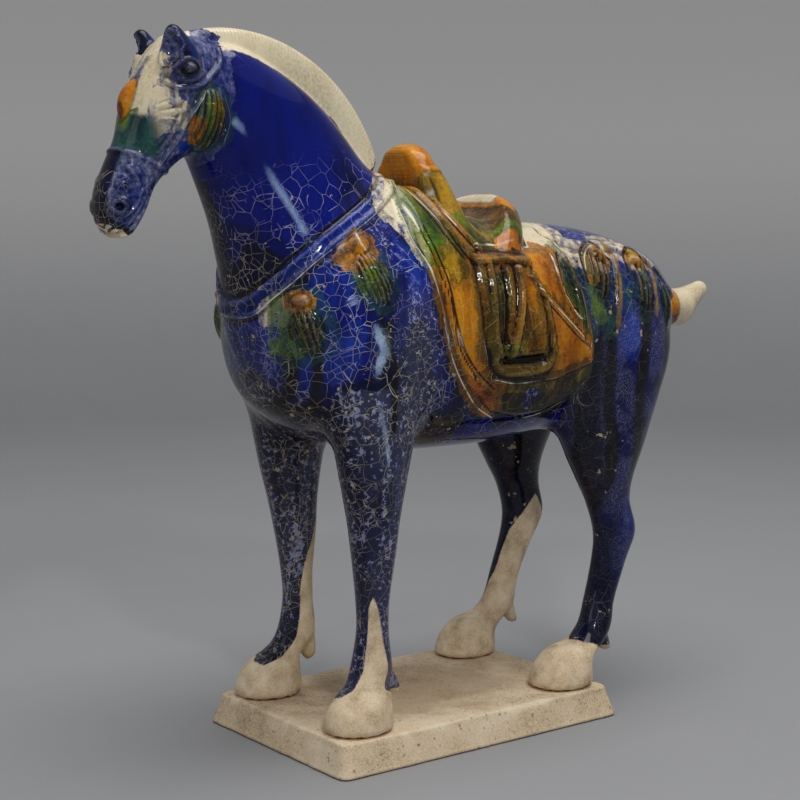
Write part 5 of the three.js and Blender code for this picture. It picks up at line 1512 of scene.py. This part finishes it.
class Shader:
    """A material's node tree, built from expressions."""

    def __init__(self, name):
        self.material = bpy.data.materials.new(name)
        self.material.use_nodes = True
        self.tree = self.material.node_tree
        self.tree.nodes.clear()

    def node(self, kind, settings=None, inputs=None, output=0):
        made = self.tree.nodes.new(kind)
        for key, value in (settings or {}).items():
            if key == "stops":
                while len(made.color_ramp.elements) < len(value):
                    made.color_ramp.elements.new(1.0)
                for element, (place, colour) in zip(made.color_ramp.elements, value):
                    element.position = place
                    element.color = (*colour, 1.0)
            else:
                setattr(made, key, value)
        for key, value in (inputs or {}).items():
            if isinstance(value, Value):
                self.tree.links.new(value.socket, made.inputs[key])
            else:
                made.inputs[key].default_value = value
        return None if output is None else Value(self, made.outputs[output])

    def attribute(self, name):
        return self.node("ShaderNodeAttribute", {"attribute_name": name}, output="Fac")

    def mix(self, share, first, second, mode="MIX"):
        """Mixes two colours; a plain colour is a tuple of three numbers."""
        first, second = ((*c, 1.0) if isinstance(c, tuple) else c for c in (first, second))
        settings = {"data_type": "RGBA", "blend_type": mode}
        return self.node("ShaderNodeMix", settings, {0: share, 6: first, 7: second}, output=2)

    def vector(self, operation, first, second):
        return self.node("ShaderNodeVectorMath", {"operation": operation}, {0: first, 1: second})

    def noise(self, place, scale, detail=3.0, roughness=0.55, distortion=0.0):
        return self.node(
            "ShaderNodeTexNoise", {},
            {
                "Vector": place, "Scale": scale, "Detail": detail,
                "Roughness": roughness, "Distortion": distortion,
            },
        )

    def cracks(self, place, scale, randomness=1.0):
        """Distance to the nearest edge between the cells of a crackle."""
        return self.node(
            "ShaderNodeTexVoronoi", {"feature": "DISTANCE_TO_EDGE"},
            {"Vector": place, "Scale": scale, "Randomness": randomness},
        )

    def ramp(self, value, stops):
        return self.node("ShaderNodeValToRGB", {"stops": stops}, {"Fac": value})

    def surface(self, inputs):
        shader = self.node("ShaderNodeBsdfPrincipled", {}, inputs)
        self.node("ShaderNodeOutputMaterial", {}, {"Surface": shader}, output=None)
        return self.material


# Colours of the other glazes: the place on the ramp and the colour there
GLAZES = {
    "dark": [(0.38, (0.0012, 0.0016, 0.004)), (0.62, (0.003, 0.005, 0.024))],
    "steel": [(0.38, (0.003, 0.005, 0.035)), (0.47, (0.020, 0.032, 0.14)), (0.56, (0.12, 0.13, 0.24)),
              (0.66, (0.40, 0.36, 0.33))],
    "cream": [(0.34, (0.44, 0.36, 0.23)), (0.46, (0.62, 0.53, 0.36)), (0.62, (0.72, 0.64, 0.46))],
    "teal": [(0.36, (0.004, 0.012, 0.012)), (0.50, (0.010, 0.040, 0.042)), (0.64, (0.030, 0.110, 0.090))],
    "green": [(0.34, (0.008, 0.022, 0.003)), (0.45, (0.045, 0.095, 0.005)), (0.57, (0.12, 0.19, 0.010)),
              (0.70, (0.30, 0.33, 0.04))],
    "olive": [(0.34, (0.05, 0.034, 0.003)), (0.47, (0.19, 0.105, 0.005)), (0.58, (0.38, 0.20, 0.007)),
              (0.70, (0.62, 0.40, 0.04))],
    "umber": [(0.36, (0.006, 0.004, 0.002)), (0.50, (0.070, 0.030, 0.004)), (0.66, (0.28, 0.12, 0.008))],
    "rust": [(0.36, (0.075, 0.012, 0.002)), (0.48, (0.24, 0.048, 0.004)), (0.62, (0.46, 0.13, 0.006))],
    "amber": [(0.34, (0.12, 0.030, 0.002)), (0.45, (0.36, 0.105, 0.003)), (0.56, (0.56, 0.215, 0.004)),
              (0.70, (0.80, 0.46, 0.05))],
}
# Pale lines: thin whitish glaze along raised edges, in part a painted highlight
PALE_LINE_AND_HIGHLIGHT = (0.70, 0.66, 0.50)
INK = (0.006, 0.005, 0.006)
BEIGE = (0.46, 0.38, 0.25)


def glaze_material(colours):
    s = Shader("glaze")
    place = s.node("ShaderNodeTexCoord", output="Object")
    runs = s.vector("MULTIPLY", place, (1.0, 1.0, 0.26))
    edge = (s.noise(runs, 300.0, 4.0) - 0.5) * 1.7 + (s.noise(place, 1000.0, 2.0) - 0.5) * 0.8
    mottle = s.noise(runs, 105.0, 4.0)
    fine = s.noise(place, 620.0, 3.0)
    flake = s.noise(place, 380.0, 5.0, 0.7)
    broad = s.noise(runs, 30.0, 3.0)
    crest = s.attribute("crest")
    calm = s.attribute("calm").rise(-16.0, 10.0)
    lively = 1.0 - calm

    def coat(name, soft=0.45, wobble=1.0):
        return (s.attribute(name) + edge * wobble).rise(-soft, soft)

    def glaze(name, share=0.65):
        return s.ramp(broad * 0.4 + mottle * (share - 0.25) + fine * (0.85 - share), GLAZES[name])

    deep, blue, bright, ice = (
        tuple(c) for c in (colours.deep_blue, colours.blue, colours.bright_blue, colours.ice)
    )

    def drawn(name, sharp=0.3):
        """A thin line, from the distance across it in half widths, where its plain distance is near."""
        off = abs(s.attribute(name + "_across")) + edge * 0.16
        return off.rise(1.0 + sharp, 1.0 - sharp) * s.attribute(name).rise(-1.3, -0.9)

    base = s.ramp(mottle * 0.5 + broad * 0.5, [(0.40, deep), (0.50, blue), (0.57, blue), (0.70, bright)])
    base = s.mix(calm, base, s.ramp(broad, [(0.35, deep), (0.56, blue)]))
    on_rump = s.attribute("fine").rise(-6.0, 12.0)
    base = s.mix(on_rump * broad.rise(0.60, 0.42, 0.35, 0.9), base, deep)
    dark = coat("dark", 3.0, 2.6) * 0.97
    colour = s.mix(dark, base, glaze("dark"))
    colour = s.mix(coat("bright", 2.4, 2.0) * mottle.rise(0.36, 0.56, 0.2, 0.85), colour, bright)
    # the lavender coat: weathering, and on the back a painted reflection of the overhead light
    weathering_and_reflection = coat("sheen", 2.4, 2.6)
    flecks = weathering_and_reflection * (flake * 0.75 + mottle * 0.25).rise(0.54, 0.58)
    veil = weathering_and_reflection * broad.rise(0.38, 0.62) * 0.08
    colour = s.mix(veil.most(flecks * 0.6), colour, ice)
    drip = drawn("drip", 0.5)
    dark = dark.most(drip)
    colour = s.mix(coat("steel", 1.2, 1.8), colour, s.ramp(flake * 0.55 + mottle * 0.45, GLAZES["steel"]))
    colour = s.mix(drip * 0.96, colour, INK)
    ground = coat("ground", 0.6)
    colour = s.mix(ground, colour, s.ramp(
        mottle, [(0.36, (0.010, 0.012, 0.006)), (0.50, (0.10, 0.075, 0.010)), (0.64, (0.30, 0.19, 0.020))]))
    colour = s.mix(coat("cream", 0.5, 1.2), colour, glaze("cream", 0.5))
    for name, soft, wobble in (
        ("teal", 1.4, 1.4), ("green", 0.8, 1.4), ("olive", 0.8, 1.4), ("umber", 0.7, 1.2), ("rust", 1.1, 1.5),
        ("amber", 0.6, 1.1),
    ):
        if name in ("olive", "rust", "amber"):
            rim = (s.attribute(name) + edge * wobble).rise(-2.0, -0.1)
            colour = s.mix(rim * 0.7, colour, (0.022, 0.026, 0.006))
        colour = s.mix(coat(name, soft, wobble), colour, glaze(name))
    colour = s.mix(coat("ink", 0.5, 0.7) * 0.95, colour, INK)
    strands = (s.attribute("strand") * (2 * math.pi)).sine().rise(-0.8, 0.2)
    strands = strands * s.attribute("tassel").rise(0.2, 1.2)
    colour = s.mix(strands * mottle.rise(0.60, 0.44, 0.6, 0.94), colour, INK)
    # pale lines on raised edges: thin glaze, in part a painted highlight
    pale = drawn("pale", 0.45) * mottle.rise(0.43, 0.50, 0.15, 0.8)
    colour = s.mix(pale, colour, PALE_LINE_AND_HIGHLIGHT)
    colour = s.mix(drawn("streak", 0.6) * mottle.rise(0.40, 0.50, 0.5, 0.95), colour, glaze("olive"))
    colour = s.mix(drawn("line") * 0.92, colour, INK)
    coloured = ground.most(coat("cream", 0.5)).most(coat("amber", 0.7)).most(coat("olive", 1.0))
    coloured = coloured.most(coat("green", 1.0)).most(s.attribute("tassel").rise(-1.0, 1.0))

    # crackle: straight fine lines that come and go, wide on the neck and close on the hindquarters
    gaps = s.noise(place, 170.0, 3.0)
    bent = s.vector("ADD", place, (s.noise(place, 60.0, 2.0) - 0.5) * 0.006)
    uneven = mottle.rise(0.38, 0.56, 0.4, 1.0)

    def crackle(scale, start, end, gap_share, patch_scale, patch_start):
        """Cracks of one size, which come and go in patches."""
        patches = gaps * gap_share + s.noise(place, patch_scale, 2.0) * (1 - gap_share)
        return s.cracks(bent, scale).rise(start, end) * uneven * patches.rise(patch_start, patch_start + 0.03)

    wide = crackle(112.0, 0.012, 0.005, 0.25, 48.0, 0.43)
    middle = crackle(205.0, 0.021, 0.010, 0.3, 70.0, 0.45)
    close = s.cracks(place, 820.0).rise(0.15, 0.07) * s.noise(place, 55.0, 3.0).rise(0.40, 0.52)
    on_neck = s.attribute("wide").rise(-8.0, 8.0)
    net = wide.most(middle * (1.0 - on_neck)) * (1.0 - on_rump * 0.8)
    net = net * lively * (1.0 - pale)
    on_dark = dark.most(coloured)
    crack_on_blue = s.mix(fine.rise(0.45, 0.6), ice, BEIGE)
    crack_colour = s.mix(on_dark, crack_on_blue, s.mix(coloured, BEIGE, (0.50, 0.38, 0.16)))
    colour = s.mix(net * (0.78 - coloured * 0.38), colour, crack_colour)
    colour = s.mix(close * on_rump * (0.20 - dark * 0.165) * (1.0 - coloured), colour, ice)
    chips = (s.noise(place, 210.0, 4.0) - 0.69 + dark * 0.03).rise(0.0, 0.02) * lively * (1.0 - coloured)
    colour = s.mix(chips * 0.8, colour, BEIGE)

    # thin glaze and a painted highlight on the ridges, thick glaze in the grooves
    thin = crest.rise(0.3, 1.1) * fine.rise(0.40, 0.54, 0.3, 1.0)
    colour = s.mix(thin * 0.13, colour, s.mix(coloured, (0.40, 0.44, 0.66), (0.76, 0.50, 0.10)))
    colour = s.mix(crest.rise(-0.12, -0.85) * (0.6 + ground * 0.35), colour, (0.05, 0.04, 0.04), "MULTIPLY")

    # notches combed across the mane's crest
    notch = (s.attribute("comb") * (2 * math.pi / 1.25)).sine().rise(0.45, 0.95)
    notch = notch * s.attribute("fringe").rise(1.0, 5.0) * mottle.rise(0.36, 0.50, 0.2, 1.0)
    colour = s.mix(notch * 0.26, colour, (0.26, 0.20, 0.12))

    # bare clay
    grain = s.noise(place, 1500.0, 4.0)
    clay = s.ramp(
        s.noise(place, 120.0, 4.0) * 0.6 + grain * 0.4,
        [(0.34, (0.40, 0.30, 0.19)), (0.50, tuple(colours.clay)), (0.66, (0.84, 0.72, 0.54))],
    )
    bare = coat("bare", 0.35, 0.8)
    colour = s.mix(bare, colour, clay)
    glossy = 1.0 - bare
    roughness = 0.05 + fine.rise(0.4, 0.7) * 0.03 + dark * 0.04 + flecks * 0.30 + net * 0.15 + veil * 0.3
    waves = s.noise(place, 150.0, 2.0) * 0.22 * glossy * (1.0 - calm * 0.6)
    height = (
        net * -0.05 - strands * 0.4 + notch * -0.5 + waves
        + grain * bare * 0.25 - flecks * 0.06 - chips * 0.2
    )
    bump = s.node("ShaderNodeBump", {}, {"Strength": 0.35, "Distance": 0.001, "Height": height})
    return s.surface({
        "Base Color": colour,
        "Roughness": roughness * glossy + bare * 0.88,
        "Normal": bump,
        "IOR": 1.32,
    })


def clay_material(colours):
    s = Shader("clay")
    place = s.node("ShaderNodeTexCoord", output="Object")
    height_up = s.node("ShaderNodeSeparateXYZ", {}, {"Vector": place}, output="Z")
    patches = s.noise(place, 30.0, 5.0, 0.6)
    grain = s.noise(place, 1000.0, 4.0, 0.7)
    wear = s.attribute("wear")
    colour = s.ramp(
        patches * 0.5 + grain * 0.5,
        [(0.36, (0.36, 0.26, 0.165)), (0.50, tuple(colours.clay)), (0.66, (0.80, 0.69, 0.52))],
    )
    top = height_up.rise(0.0135, 0.0150)
    stain = (s.attribute("stain") + (s.noise(place, 45.0, 6.0, 0.65) - 0.5) * 2.2).rise(0.0, 0.55)
    colour = s.mix(stain * top * 0.5, colour, (0.35, 0.22, 0.115))
    colour = s.mix(wear.rise(0.25, 1.0) * 0.6, colour, (0.82, 0.72, 0.55))
    pits = s.noise(place, 420.0, 3.0).rise(0.36, 0.30)
    colour = s.mix(pits * 0.6, colour, (0.14, 0.085, 0.045))
    height = patches * 0.7 + grain * 0.6 + s.noise(place, 260.0, 3.0) * 0.5 - pits * 0.5
    bump = s.node("ShaderNodeBump", {}, {"Strength": 0.55, "Distance": 0.001, "Height": height})
    return s.surface({"Base Color": colour, "Roughness": 0.86 + grain * 0.1, "Normal": bump})


class HorseSizes(bpy.types.PropertyGroup):
    figure_height: FloatProperty(
        name="Figure height", description="From the plinth's top to the top of the mane", default=0.3245,
        unit="LENGTH",
    )
    mesh_step: FloatProperty(
        name="Mesh step", description="Grid step of the surface mesh", default=0.0025, unit="LENGTH",
    )


class GlazeColours(bpy.types.PropertyGroup):
    deep_blue: FloatVectorProperty(
        name="Deep blue", description="Cobalt glaze where it is thick", subtype="COLOR", size=3,
        default=(0.0012, 0.0026, 0.034),
    )
    blue: FloatVectorProperty(
        name="Blue", description="Cobalt glaze", subtype="COLOR", size=3, default=(0.0026, 0.0065, 0.125),
    )
    bright_blue: FloatVectorProperty(
        name="Bright blue", description="Cobalt glaze where it is thin", subtype="COLOR", size=3,
        default=(0.008, 0.034, 0.270),
    )
    # Lavender is also the colour of the painted reflection on the back
    ice: FloatVectorProperty(
        name="Lavender", description="Crackle lines and weathering on the blue", subtype="COLOR", size=3,
        default=(0.34, 0.36, 0.56),
    )
    clay: FloatVectorProperty(
        name="Clay", description="Unglazed buff clay", subtype="COLOR", size=3, default=(0.70, 0.545, 0.36),
    )


class StudioSettings(bpy.types.PropertyGroup):
    azimuth: FloatProperty(
        name="Azimuth", description="Camera direction, from the front towards the left flank",
        default=math.radians(52.829), subtype="ANGLE",
    )
    elevation: FloatProperty(
        name="Elevation", description="Camera height as an angle",
        default=math.radians(6.5026), subtype="ANGLE",
    )
    distance: FloatProperty(name="Distance", description="Camera distance", default=0.8510, unit="LENGTH")
    lens: FloatProperty(name="Lens", description="Focal length in millimetres", default=76.5)
    floor_radius: FloatProperty(
        name="Floor", description="Radius of the flat part of the floor", default=1.25, unit="LENGTH",
    )
    cove: FloatProperty(
        name="Cove", description="Radius of the curve between the floor and the wall",
        default=0.55, unit="LENGTH",
    )
    wall: FloatProperty(name="Wall", description="Height of the round wall", default=1.5, unit="LENGTH")


# Room round the forms, and how many steps the net starts below the plinth's top
MARGIN = 2
STEPS_BELOW = 1.3
RELAX_ROUNDS = 3
LATER_SHARE = 0.3


class TOMB_OT_horse(bpy.types.Operator):
    """Build the glazed horse with its harness, saddlery and face"""

    bl_idname = "tomb.horse"
    bl_label = "Horse"

    def execute(self, context):
        sizes = context.scene.tomb_horse_sizes
        unit = sizes.figure_height / 100
        step = sizes.mesh_step / unit
        low = np.min([form.low for form, _ in JOINED], axis=0) - MARGIN
        high = np.max([form.high for form, _ in JOINED], axis=0) + MARGIN
        low[2] = -STEPS_BELOW * step
        points, faces = surface_net(body, low, high, step)
        for _ in range(RELAX_ROUNDS):
            points, _ = settle(relax(points, faces), step)
        points, faces = refine(points, faces, detailed(FINE, *FIRST_CUT))
        points, _ = settle(relax(points, faces, LATER_SHARE), step)
        points, faces = refine(points, faces, detailed(FINER, *SECOND_CUT))
        points, faces = refine(points, faces, mane_edge)
        points, _ = settle(relax(points, faces, LATER_SHARE), step)
        points, out = settle(points, step)
        rise = relief(points)
        placed = points + out * rise[:, None]
        placed[:, 2] = np.maximum(placed[:, 2], 0)
        piece = build_mesh("glazed_horse", placed * unit + (0, 0, HORSE_LOW[2]), faces)
        for name, values in paint_horse(points, unit * 1000).items():
            keep_value(piece.data, name, values)
        keep_value(piece.data, "crest", ridges(points, rise))
        piece.data.materials.append(glaze_material(context.scene.tomb_horse_colours))
        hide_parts("horse")
        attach(piece, "root")
        return {"FINISHED"}


RIDGE = 0.5


def ridges(points, rise):
    """How far the relief stands out from that around it, about -1 in grooves and 1 on ridges."""
    return np.clip((rise - relief_around(points, RIDGE)) / 0.16, -1.5, 1.5)


class TOMB_OT_plinth(bpy.types.Operator):
    """Build the unglazed slab plinth with worn edges"""

    bl_idname = "tomb.plinth"
    bl_label = "Plinth"

    def execute(self, context):
        piece = plinth_piece()
        piece.data.materials.append(clay_material(context.scene.tomb_horse_colours))
        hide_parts("plinth")
        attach(piece, "root")
        return {"FINISHED"}


# The slab: its net's step, how far its sides lean in, and the rounding of its upper edge and its corners
PLINTH_STEP = 0.0016
PLINTH_SLOPE = 0.0038
PLINTH_EDGE = 0.0016
PLINTH_CORNER = 0.005
EDGE_RINGS = 4
CORNER_PARTS = 6
# Inset and height of the rings along the worn lower edge
FOOT_RINGS = [(0.0015, 0.0), (0.0, 0.0008)]
# Steps of the net over the top and along the sides, in steps of its height, and how far in the top's net goes
TOP_STEP = 1.3
SIDE_STEP = 1.2
MIDDLE = 0.97
STAIN_REACH = 0.8
# How far from the upper edge chips reach, and how far down the sides' roughness reaches inwards
CHIP_REACH = 0.006
ROUGH_REACH = 0.004
ON_TOP = 1e-5
CELL_MIX = np.array([127.1, 311.7, 74.7])
CELL_SPREAD = 43758.5453
SEED_SHIFT = 17.31
SEED_TURN = 5.3


def lattice_noise(points, size, seed):
    """Smooth noise between -1 and 1 over points, in cells of a size."""
    place = points / size + seed * SEED_SHIFT
    cell = np.floor(place)
    t = place - cell
    t = t * t * (3 - 2 * t)
    total = np.zeros(len(points))
    for c in range(8):
        offset = np.array([c & 1, c >> 1 & 1, c >> 2])
        q = cell + offset
        value = np.sin(q @ CELL_MIX + seed * SEED_TURN) * CELL_SPREAD
        value = (value - np.floor(value)) * 2 - 1
        weight = np.prod(np.where(offset == 1, t, 1 - t), axis=1)
        total += value * weight
    return total


def plinth_piece():
    """A slab whose sides lean in, as a net of rings, with chips along its upper edge."""
    half = (PLINTH_HIGH - PLINTH_LOW)[:2] / 2
    height = PLINTH_HIGH[2]
    rings = list(FOOT_RINGS)
    sides = int((height - PLINTH_EDGE) / PLINTH_STEP)
    for i in range(1, sides + 1):
        share = i / sides
        rings.append((PLINTH_SLOPE * share, (height - PLINTH_EDGE) * share))
    for i in range(1, EDGE_RINGS + 1):
        turn = math.radians(90 * i / EDGE_RINGS)
        inset = PLINTH_SLOPE + PLINTH_EDGE * (1 - math.cos(turn))
        rings.append((inset, height - PLINTH_EDGE * (1 - math.sin(turn))))
    inset = rings[-1][0]
    innermost = half[0] * MIDDLE
    while inset < innermost:
        inset += PLINTH_STEP * TOP_STEP
        rings.append((min(inset, innermost), height))
    rings = [(innermost, 0.0)] + rings
    around = outline_points(half[0], half[1], PLINTH_CORNER)
    points = []
    for inset, z in rings:
        points.append(np.column_stack([inset_outline(around, half, inset), np.full(len(around), z)]))
    points = np.vstack(points)
    n = len(around)
    quads = []
    for ring in range(len(rings) - 1):
        i = np.arange(n)
        j = (i + 1) % n
        quads.append(np.stack([ring * n + i, ring * n + j, (ring + 1) * n + j, (ring + 1) * n + i], 1))
    faces = np.vstack(quads)
    last = (len(rings) - 1) * n
    bottom = np.arange(n)[::-1]
    top = last + np.arange(n)
    mesh_points, worn = wear_plinth(points, half, height)
    piece = build_mesh("clay_plinth", mesh_points, faces)
    fill_ring(piece, bottom, top)
    keep_value(piece.data, "wear", worn)
    reach = half * STAIN_REACH
    stain = 1 - np.hypot(mesh_points[:, 0] / reach[0], mesh_points[:, 1] / reach[1])
    keep_value(piece.data, "stain", stain)
    return piece


def outline_points(half_x, half_y, corner):
    """A rectangle with round corners, evenly divided."""
    line = []
    for quarter, (sx, sy) in enumerate(((1, 1), (-1, 1), (-1, -1), (1, -1))):
        centre = (sx * (half_x - corner), sy * (half_y - corner))
        for i in range(CORNER_PARTS + 1):
            turn = math.radians(90 * (quarter + i / CORNER_PARTS))
            line.append((centre[0] + corner * math.cos(turn), centre[1] + corner * math.sin(turn)))
    line.append(line[0])
    line = np.array(line)
    lengths = np.concatenate([[0], np.cumsum(np.linalg.norm(np.diff(line, axis=0), axis=1))])
    count = int(lengths[-1] / (PLINTH_STEP * SIDE_STEP))
    at = np.linspace(0, lengths[-1], count, endpoint=False)
    return np.column_stack([np.interp(at, lengths, line[:, k]) for k in range(2)])


def inset_outline(around, half, inset):
    share = (half - inset) / half
    return around * share


def wear_plinth(points, half, height):
    """Wears the edges and roughens the sides inwards; gives the points and how worn each is."""
    x, y, z = points.T
    to_top = height - z
    inset_x = half[0] - np.abs(x) - PLINTH_SLOPE * z / height
    inset_y = half[1] - np.abs(y) - PLINTH_SLOPE * z / height
    inset = np.minimum(inset_x, inset_y)
    at_edge = smooth(1 - np.hypot(to_top, np.maximum(inset, 0)) / CHIP_REACH)
    wide_chips = np.maximum(lattice_noise(points, 0.011, 1) - 0.15, 0)
    small_chips = np.maximum(lattice_noise(points, 0.005, 2) - 0.35, 0)
    chips = wide_chips + small_chips
    rough = 0.5 + 0.5 * lattice_noise(points, 0.007, 3) + 0.25 * lattice_noise(points, 0.0025, 4)
    side = smooth(1 - inset / ROUGH_REACH)
    inward = -np.column_stack([np.sign(x) * (inset_x < inset_y), np.sign(y) * (inset_y <= inset_x), 0 * z])
    moved = points + inward * (0.0005 * rough * side + 0.0016 * chips * at_edge)[:, None]
    moved[:, 2] -= 0.0010 * chips * at_edge + np.where(to_top < ON_TOP, 0.00012 * (1 + rough), 0)
    moved[:, 2] = np.maximum(moved[:, 2], 0)
    return moved, chips * at_edge * 1.6 + at_edge * 0.4


def fill_ring(piece, *rings):
    mesh = bmesh.new()
    mesh.from_mesh(piece.data)
    mesh.verts.ensure_lookup_table()
    for ring in rings:
        mesh.faces.new([mesh.verts[int(i)] for i in ring])
    bmesh.ops.recalc_face_normals(mesh, faces=mesh.faces)
    mesh.to_mesh(piece.data)
    mesh.free()
    piece.data.shade_smooth()


CAMERA_AIM = (-0.004616, -0.006088, 0.163640)
SENSOR_WIDTH = 36.0
WORLD_STRENGTH = 0.42


class TOMB_OT_studio(bpy.types.Operator):
    """Set the floor, the soft lights and the camera"""

    bl_idname = "tomb.studio"
    bl_label = "Studio"

    def execute(self, context):
        settings = context.scene.tomb_horse_studio
        floor = studio_floor(settings)
        floor.data.materials.append(floor_material())
        a, e = settings.azimuth, settings.elevation
        back = Vector((math.sin(a) * math.cos(e), -math.cos(a) * math.cos(e), math.sin(e)))
        target = Vector(CAMERA_AIM)
        camera = bpy.data.objects.new("camera", bpy.data.cameras.new("camera"))
        camera.data.lens = settings.lens
        camera.data.sensor_width = SENSOR_WIDTH
        camera.location = target + back * settings.distance
        camera.rotation_euler = (-back).to_track_quat("-Z", "Y").to_euler()
        context.scene.collection.objects.link(camera)
        context.scene.camera = camera
        for lamp in LAMPS:
            add_lamp(*lamp)
        world = bpy.data.worlds.new("studio")
        world.use_nodes = True
        background = world.node_tree.nodes["Background"]
        background.inputs["Color"].default_value = (0.95, 0.97, 1.0, 1.0)
        background.inputs["Strength"].default_value = WORLD_STRENGTH
        context.scene.world = world
        context.scene.view_settings.view_transform = "Standard"
        return {"FINISHED"}


COOL = (0.60, 0.85, 1.15)
WARM = (1.0, 0.98, 0.95)
# Lamps: name, place, what it faces, width, height, turn in degrees, radiance, colour, spread of its light
LAMPS = [
    ("overhead", (0.25, 0.15, 1.55), (0, 0, 0.15), 1.1, 1.1, 0, 5.2, WARM),
    ("window", (0.496, -0.134, 0.353), (0.033, -0.090, 0.247), 0.210, 0.105, 26.6, 0.095, COOL, 0.27),
    ("low panel", (0.421, 0.061, 0.095), (0.052, -0.062, 0.20), 0.048, 0.178, 34.7, 0.42, COOL, 0.5),
    ("spark", (1.05, -0.45, 0.95), (0, 0, 0.2), 0.12, 0.12, 0, 110.0, (1.0, 1.0, 1.0)),
    ("front", (0.20, -1.10, 0.75), (0, 0, 0.15), 0.7, 0.5, 0, 1.0, WARM),
]


def add_lamp(name, place, aim, width, height, turn, radiance, colour, spread=math.pi):
    data = bpy.data.lights.new(name, "AREA")
    data.shape = "ELLIPSE"
    data.size = width
    data.size_y = height
    data.energy = radiance * math.pi**2 / 4 * width * height
    data.color = colour
    data.spread = spread
    lamp = bpy.data.objects.new(name, data)
    lamp.location = place
    towards = (Vector(aim) - Vector(place)).to_track_quat("-Z", "Y")
    lamp.rotation_euler = (towards @ Quaternion((0, 0, 1), math.radians(turn))).to_euler()
    lamp.visible_camera = False
    bpy.context.scene.collection.objects.link(lamp)


def studio_floor(settings):
    """A round floor that curves up into a plain wall."""
    profile = [(r, 0.0) for r in (0.3, 0.6, 0.9, settings.floor_radius)]
    for i in range(1, 17):
        turn = math.radians(90 * i / 16)
        profile.append((
            settings.floor_radius + settings.cove * math.sin(turn), settings.cove * (1 - math.cos(turn)),
        ))
    profile.append((profile[-1][0], settings.wall))
    number = 96
    turn = np.arange(number) * 2 * np.pi / number
    rings = [np.column_stack([r * np.cos(turn), r * np.sin(turn), np.full(number, z)]) for r, z in profile]
    i = np.arange(number)
    j = (i + 1) % number
    faces = [np.stack([k * number + i, (k + 1) * number + i, (k + 1) * number + j, k * number + j], 1)
             for k in range(len(profile) - 1)]
    floor = build_mesh("floor", np.vstack(rings), np.vstack(faces))
    fill_ring(floor, i)
    return floor


def floor_material():
    s = Shader("pale floor")
    place = s.node("ShaderNodeTexCoord", output="Object")
    height_up = s.node("ShaderNodeSeparateXYZ", {}, {"Vector": place}, output="Z")
    colour = s.mix(s.noise(place, 9.0, 3.0), (0.272, 0.276, 0.290), (0.295, 0.299, 0.313))
    # lighter grey up the cove and wall: painted light on the backdrop
    colour = s.mix(height_up.rise(0.0, 0.4), colour, (0.50, 0.50, 0.50))
    return s.surface({"Base Color": colour, "Roughness": 0.7})


class TOMB_PT_panel(bpy.types.Panel):
    bl_idname = "TOMB_PT_panel"
    bl_label = "Tomb horse"
    bl_space_type = "VIEW_3D"
    bl_region_type = "UI"
    bl_category = "Tomb horse"

    def draw(self, context):
        scene = context.scene
        for group in (scene.tomb_horse_sizes, scene.tomb_horse_colours, scene.tomb_horse_studio):
            box = self.layout.box()
            for name in group.__annotations__:
                box.prop(group, name)
        for operator in (TOMB_OT_plinth, TOMB_OT_horse, TOMB_OT_studio):
            self.layout.operator(operator.bl_idname)


CLASSES = (
    HorseSizes, GlazeColours, StudioSettings, TOMB_OT_plinth, TOMB_OT_horse, TOMB_OT_studio, TOMB_PT_panel,
)


def register():
    for cls in CLASSES:
        bpy.utils.register_class(cls)
    bpy.types.Scene.tomb_horse_sizes = bpy.props.PointerProperty(type=HorseSizes)
    bpy.types.Scene.tomb_horse_colours = bpy.props.PointerProperty(type=GlazeColours)
    bpy.types.Scene.tomb_horse_studio = bpy.props.PointerProperty(type=StudioSettings)


def unregister():
    for name in ("tomb_horse_sizes", "tomb_horse_colours", "tomb_horse_studio"):
        delattr(bpy.types.Scene, name)
    for cls in reversed(CLASSES):
        bpy.utils.unregister_class(cls)


def main():
    register()
    bpy.ops.tomb.plinth()
    bpy.ops.tomb.horse()
    bpy.ops.tomb.studio()


if __name__ == "__main__":
    main()
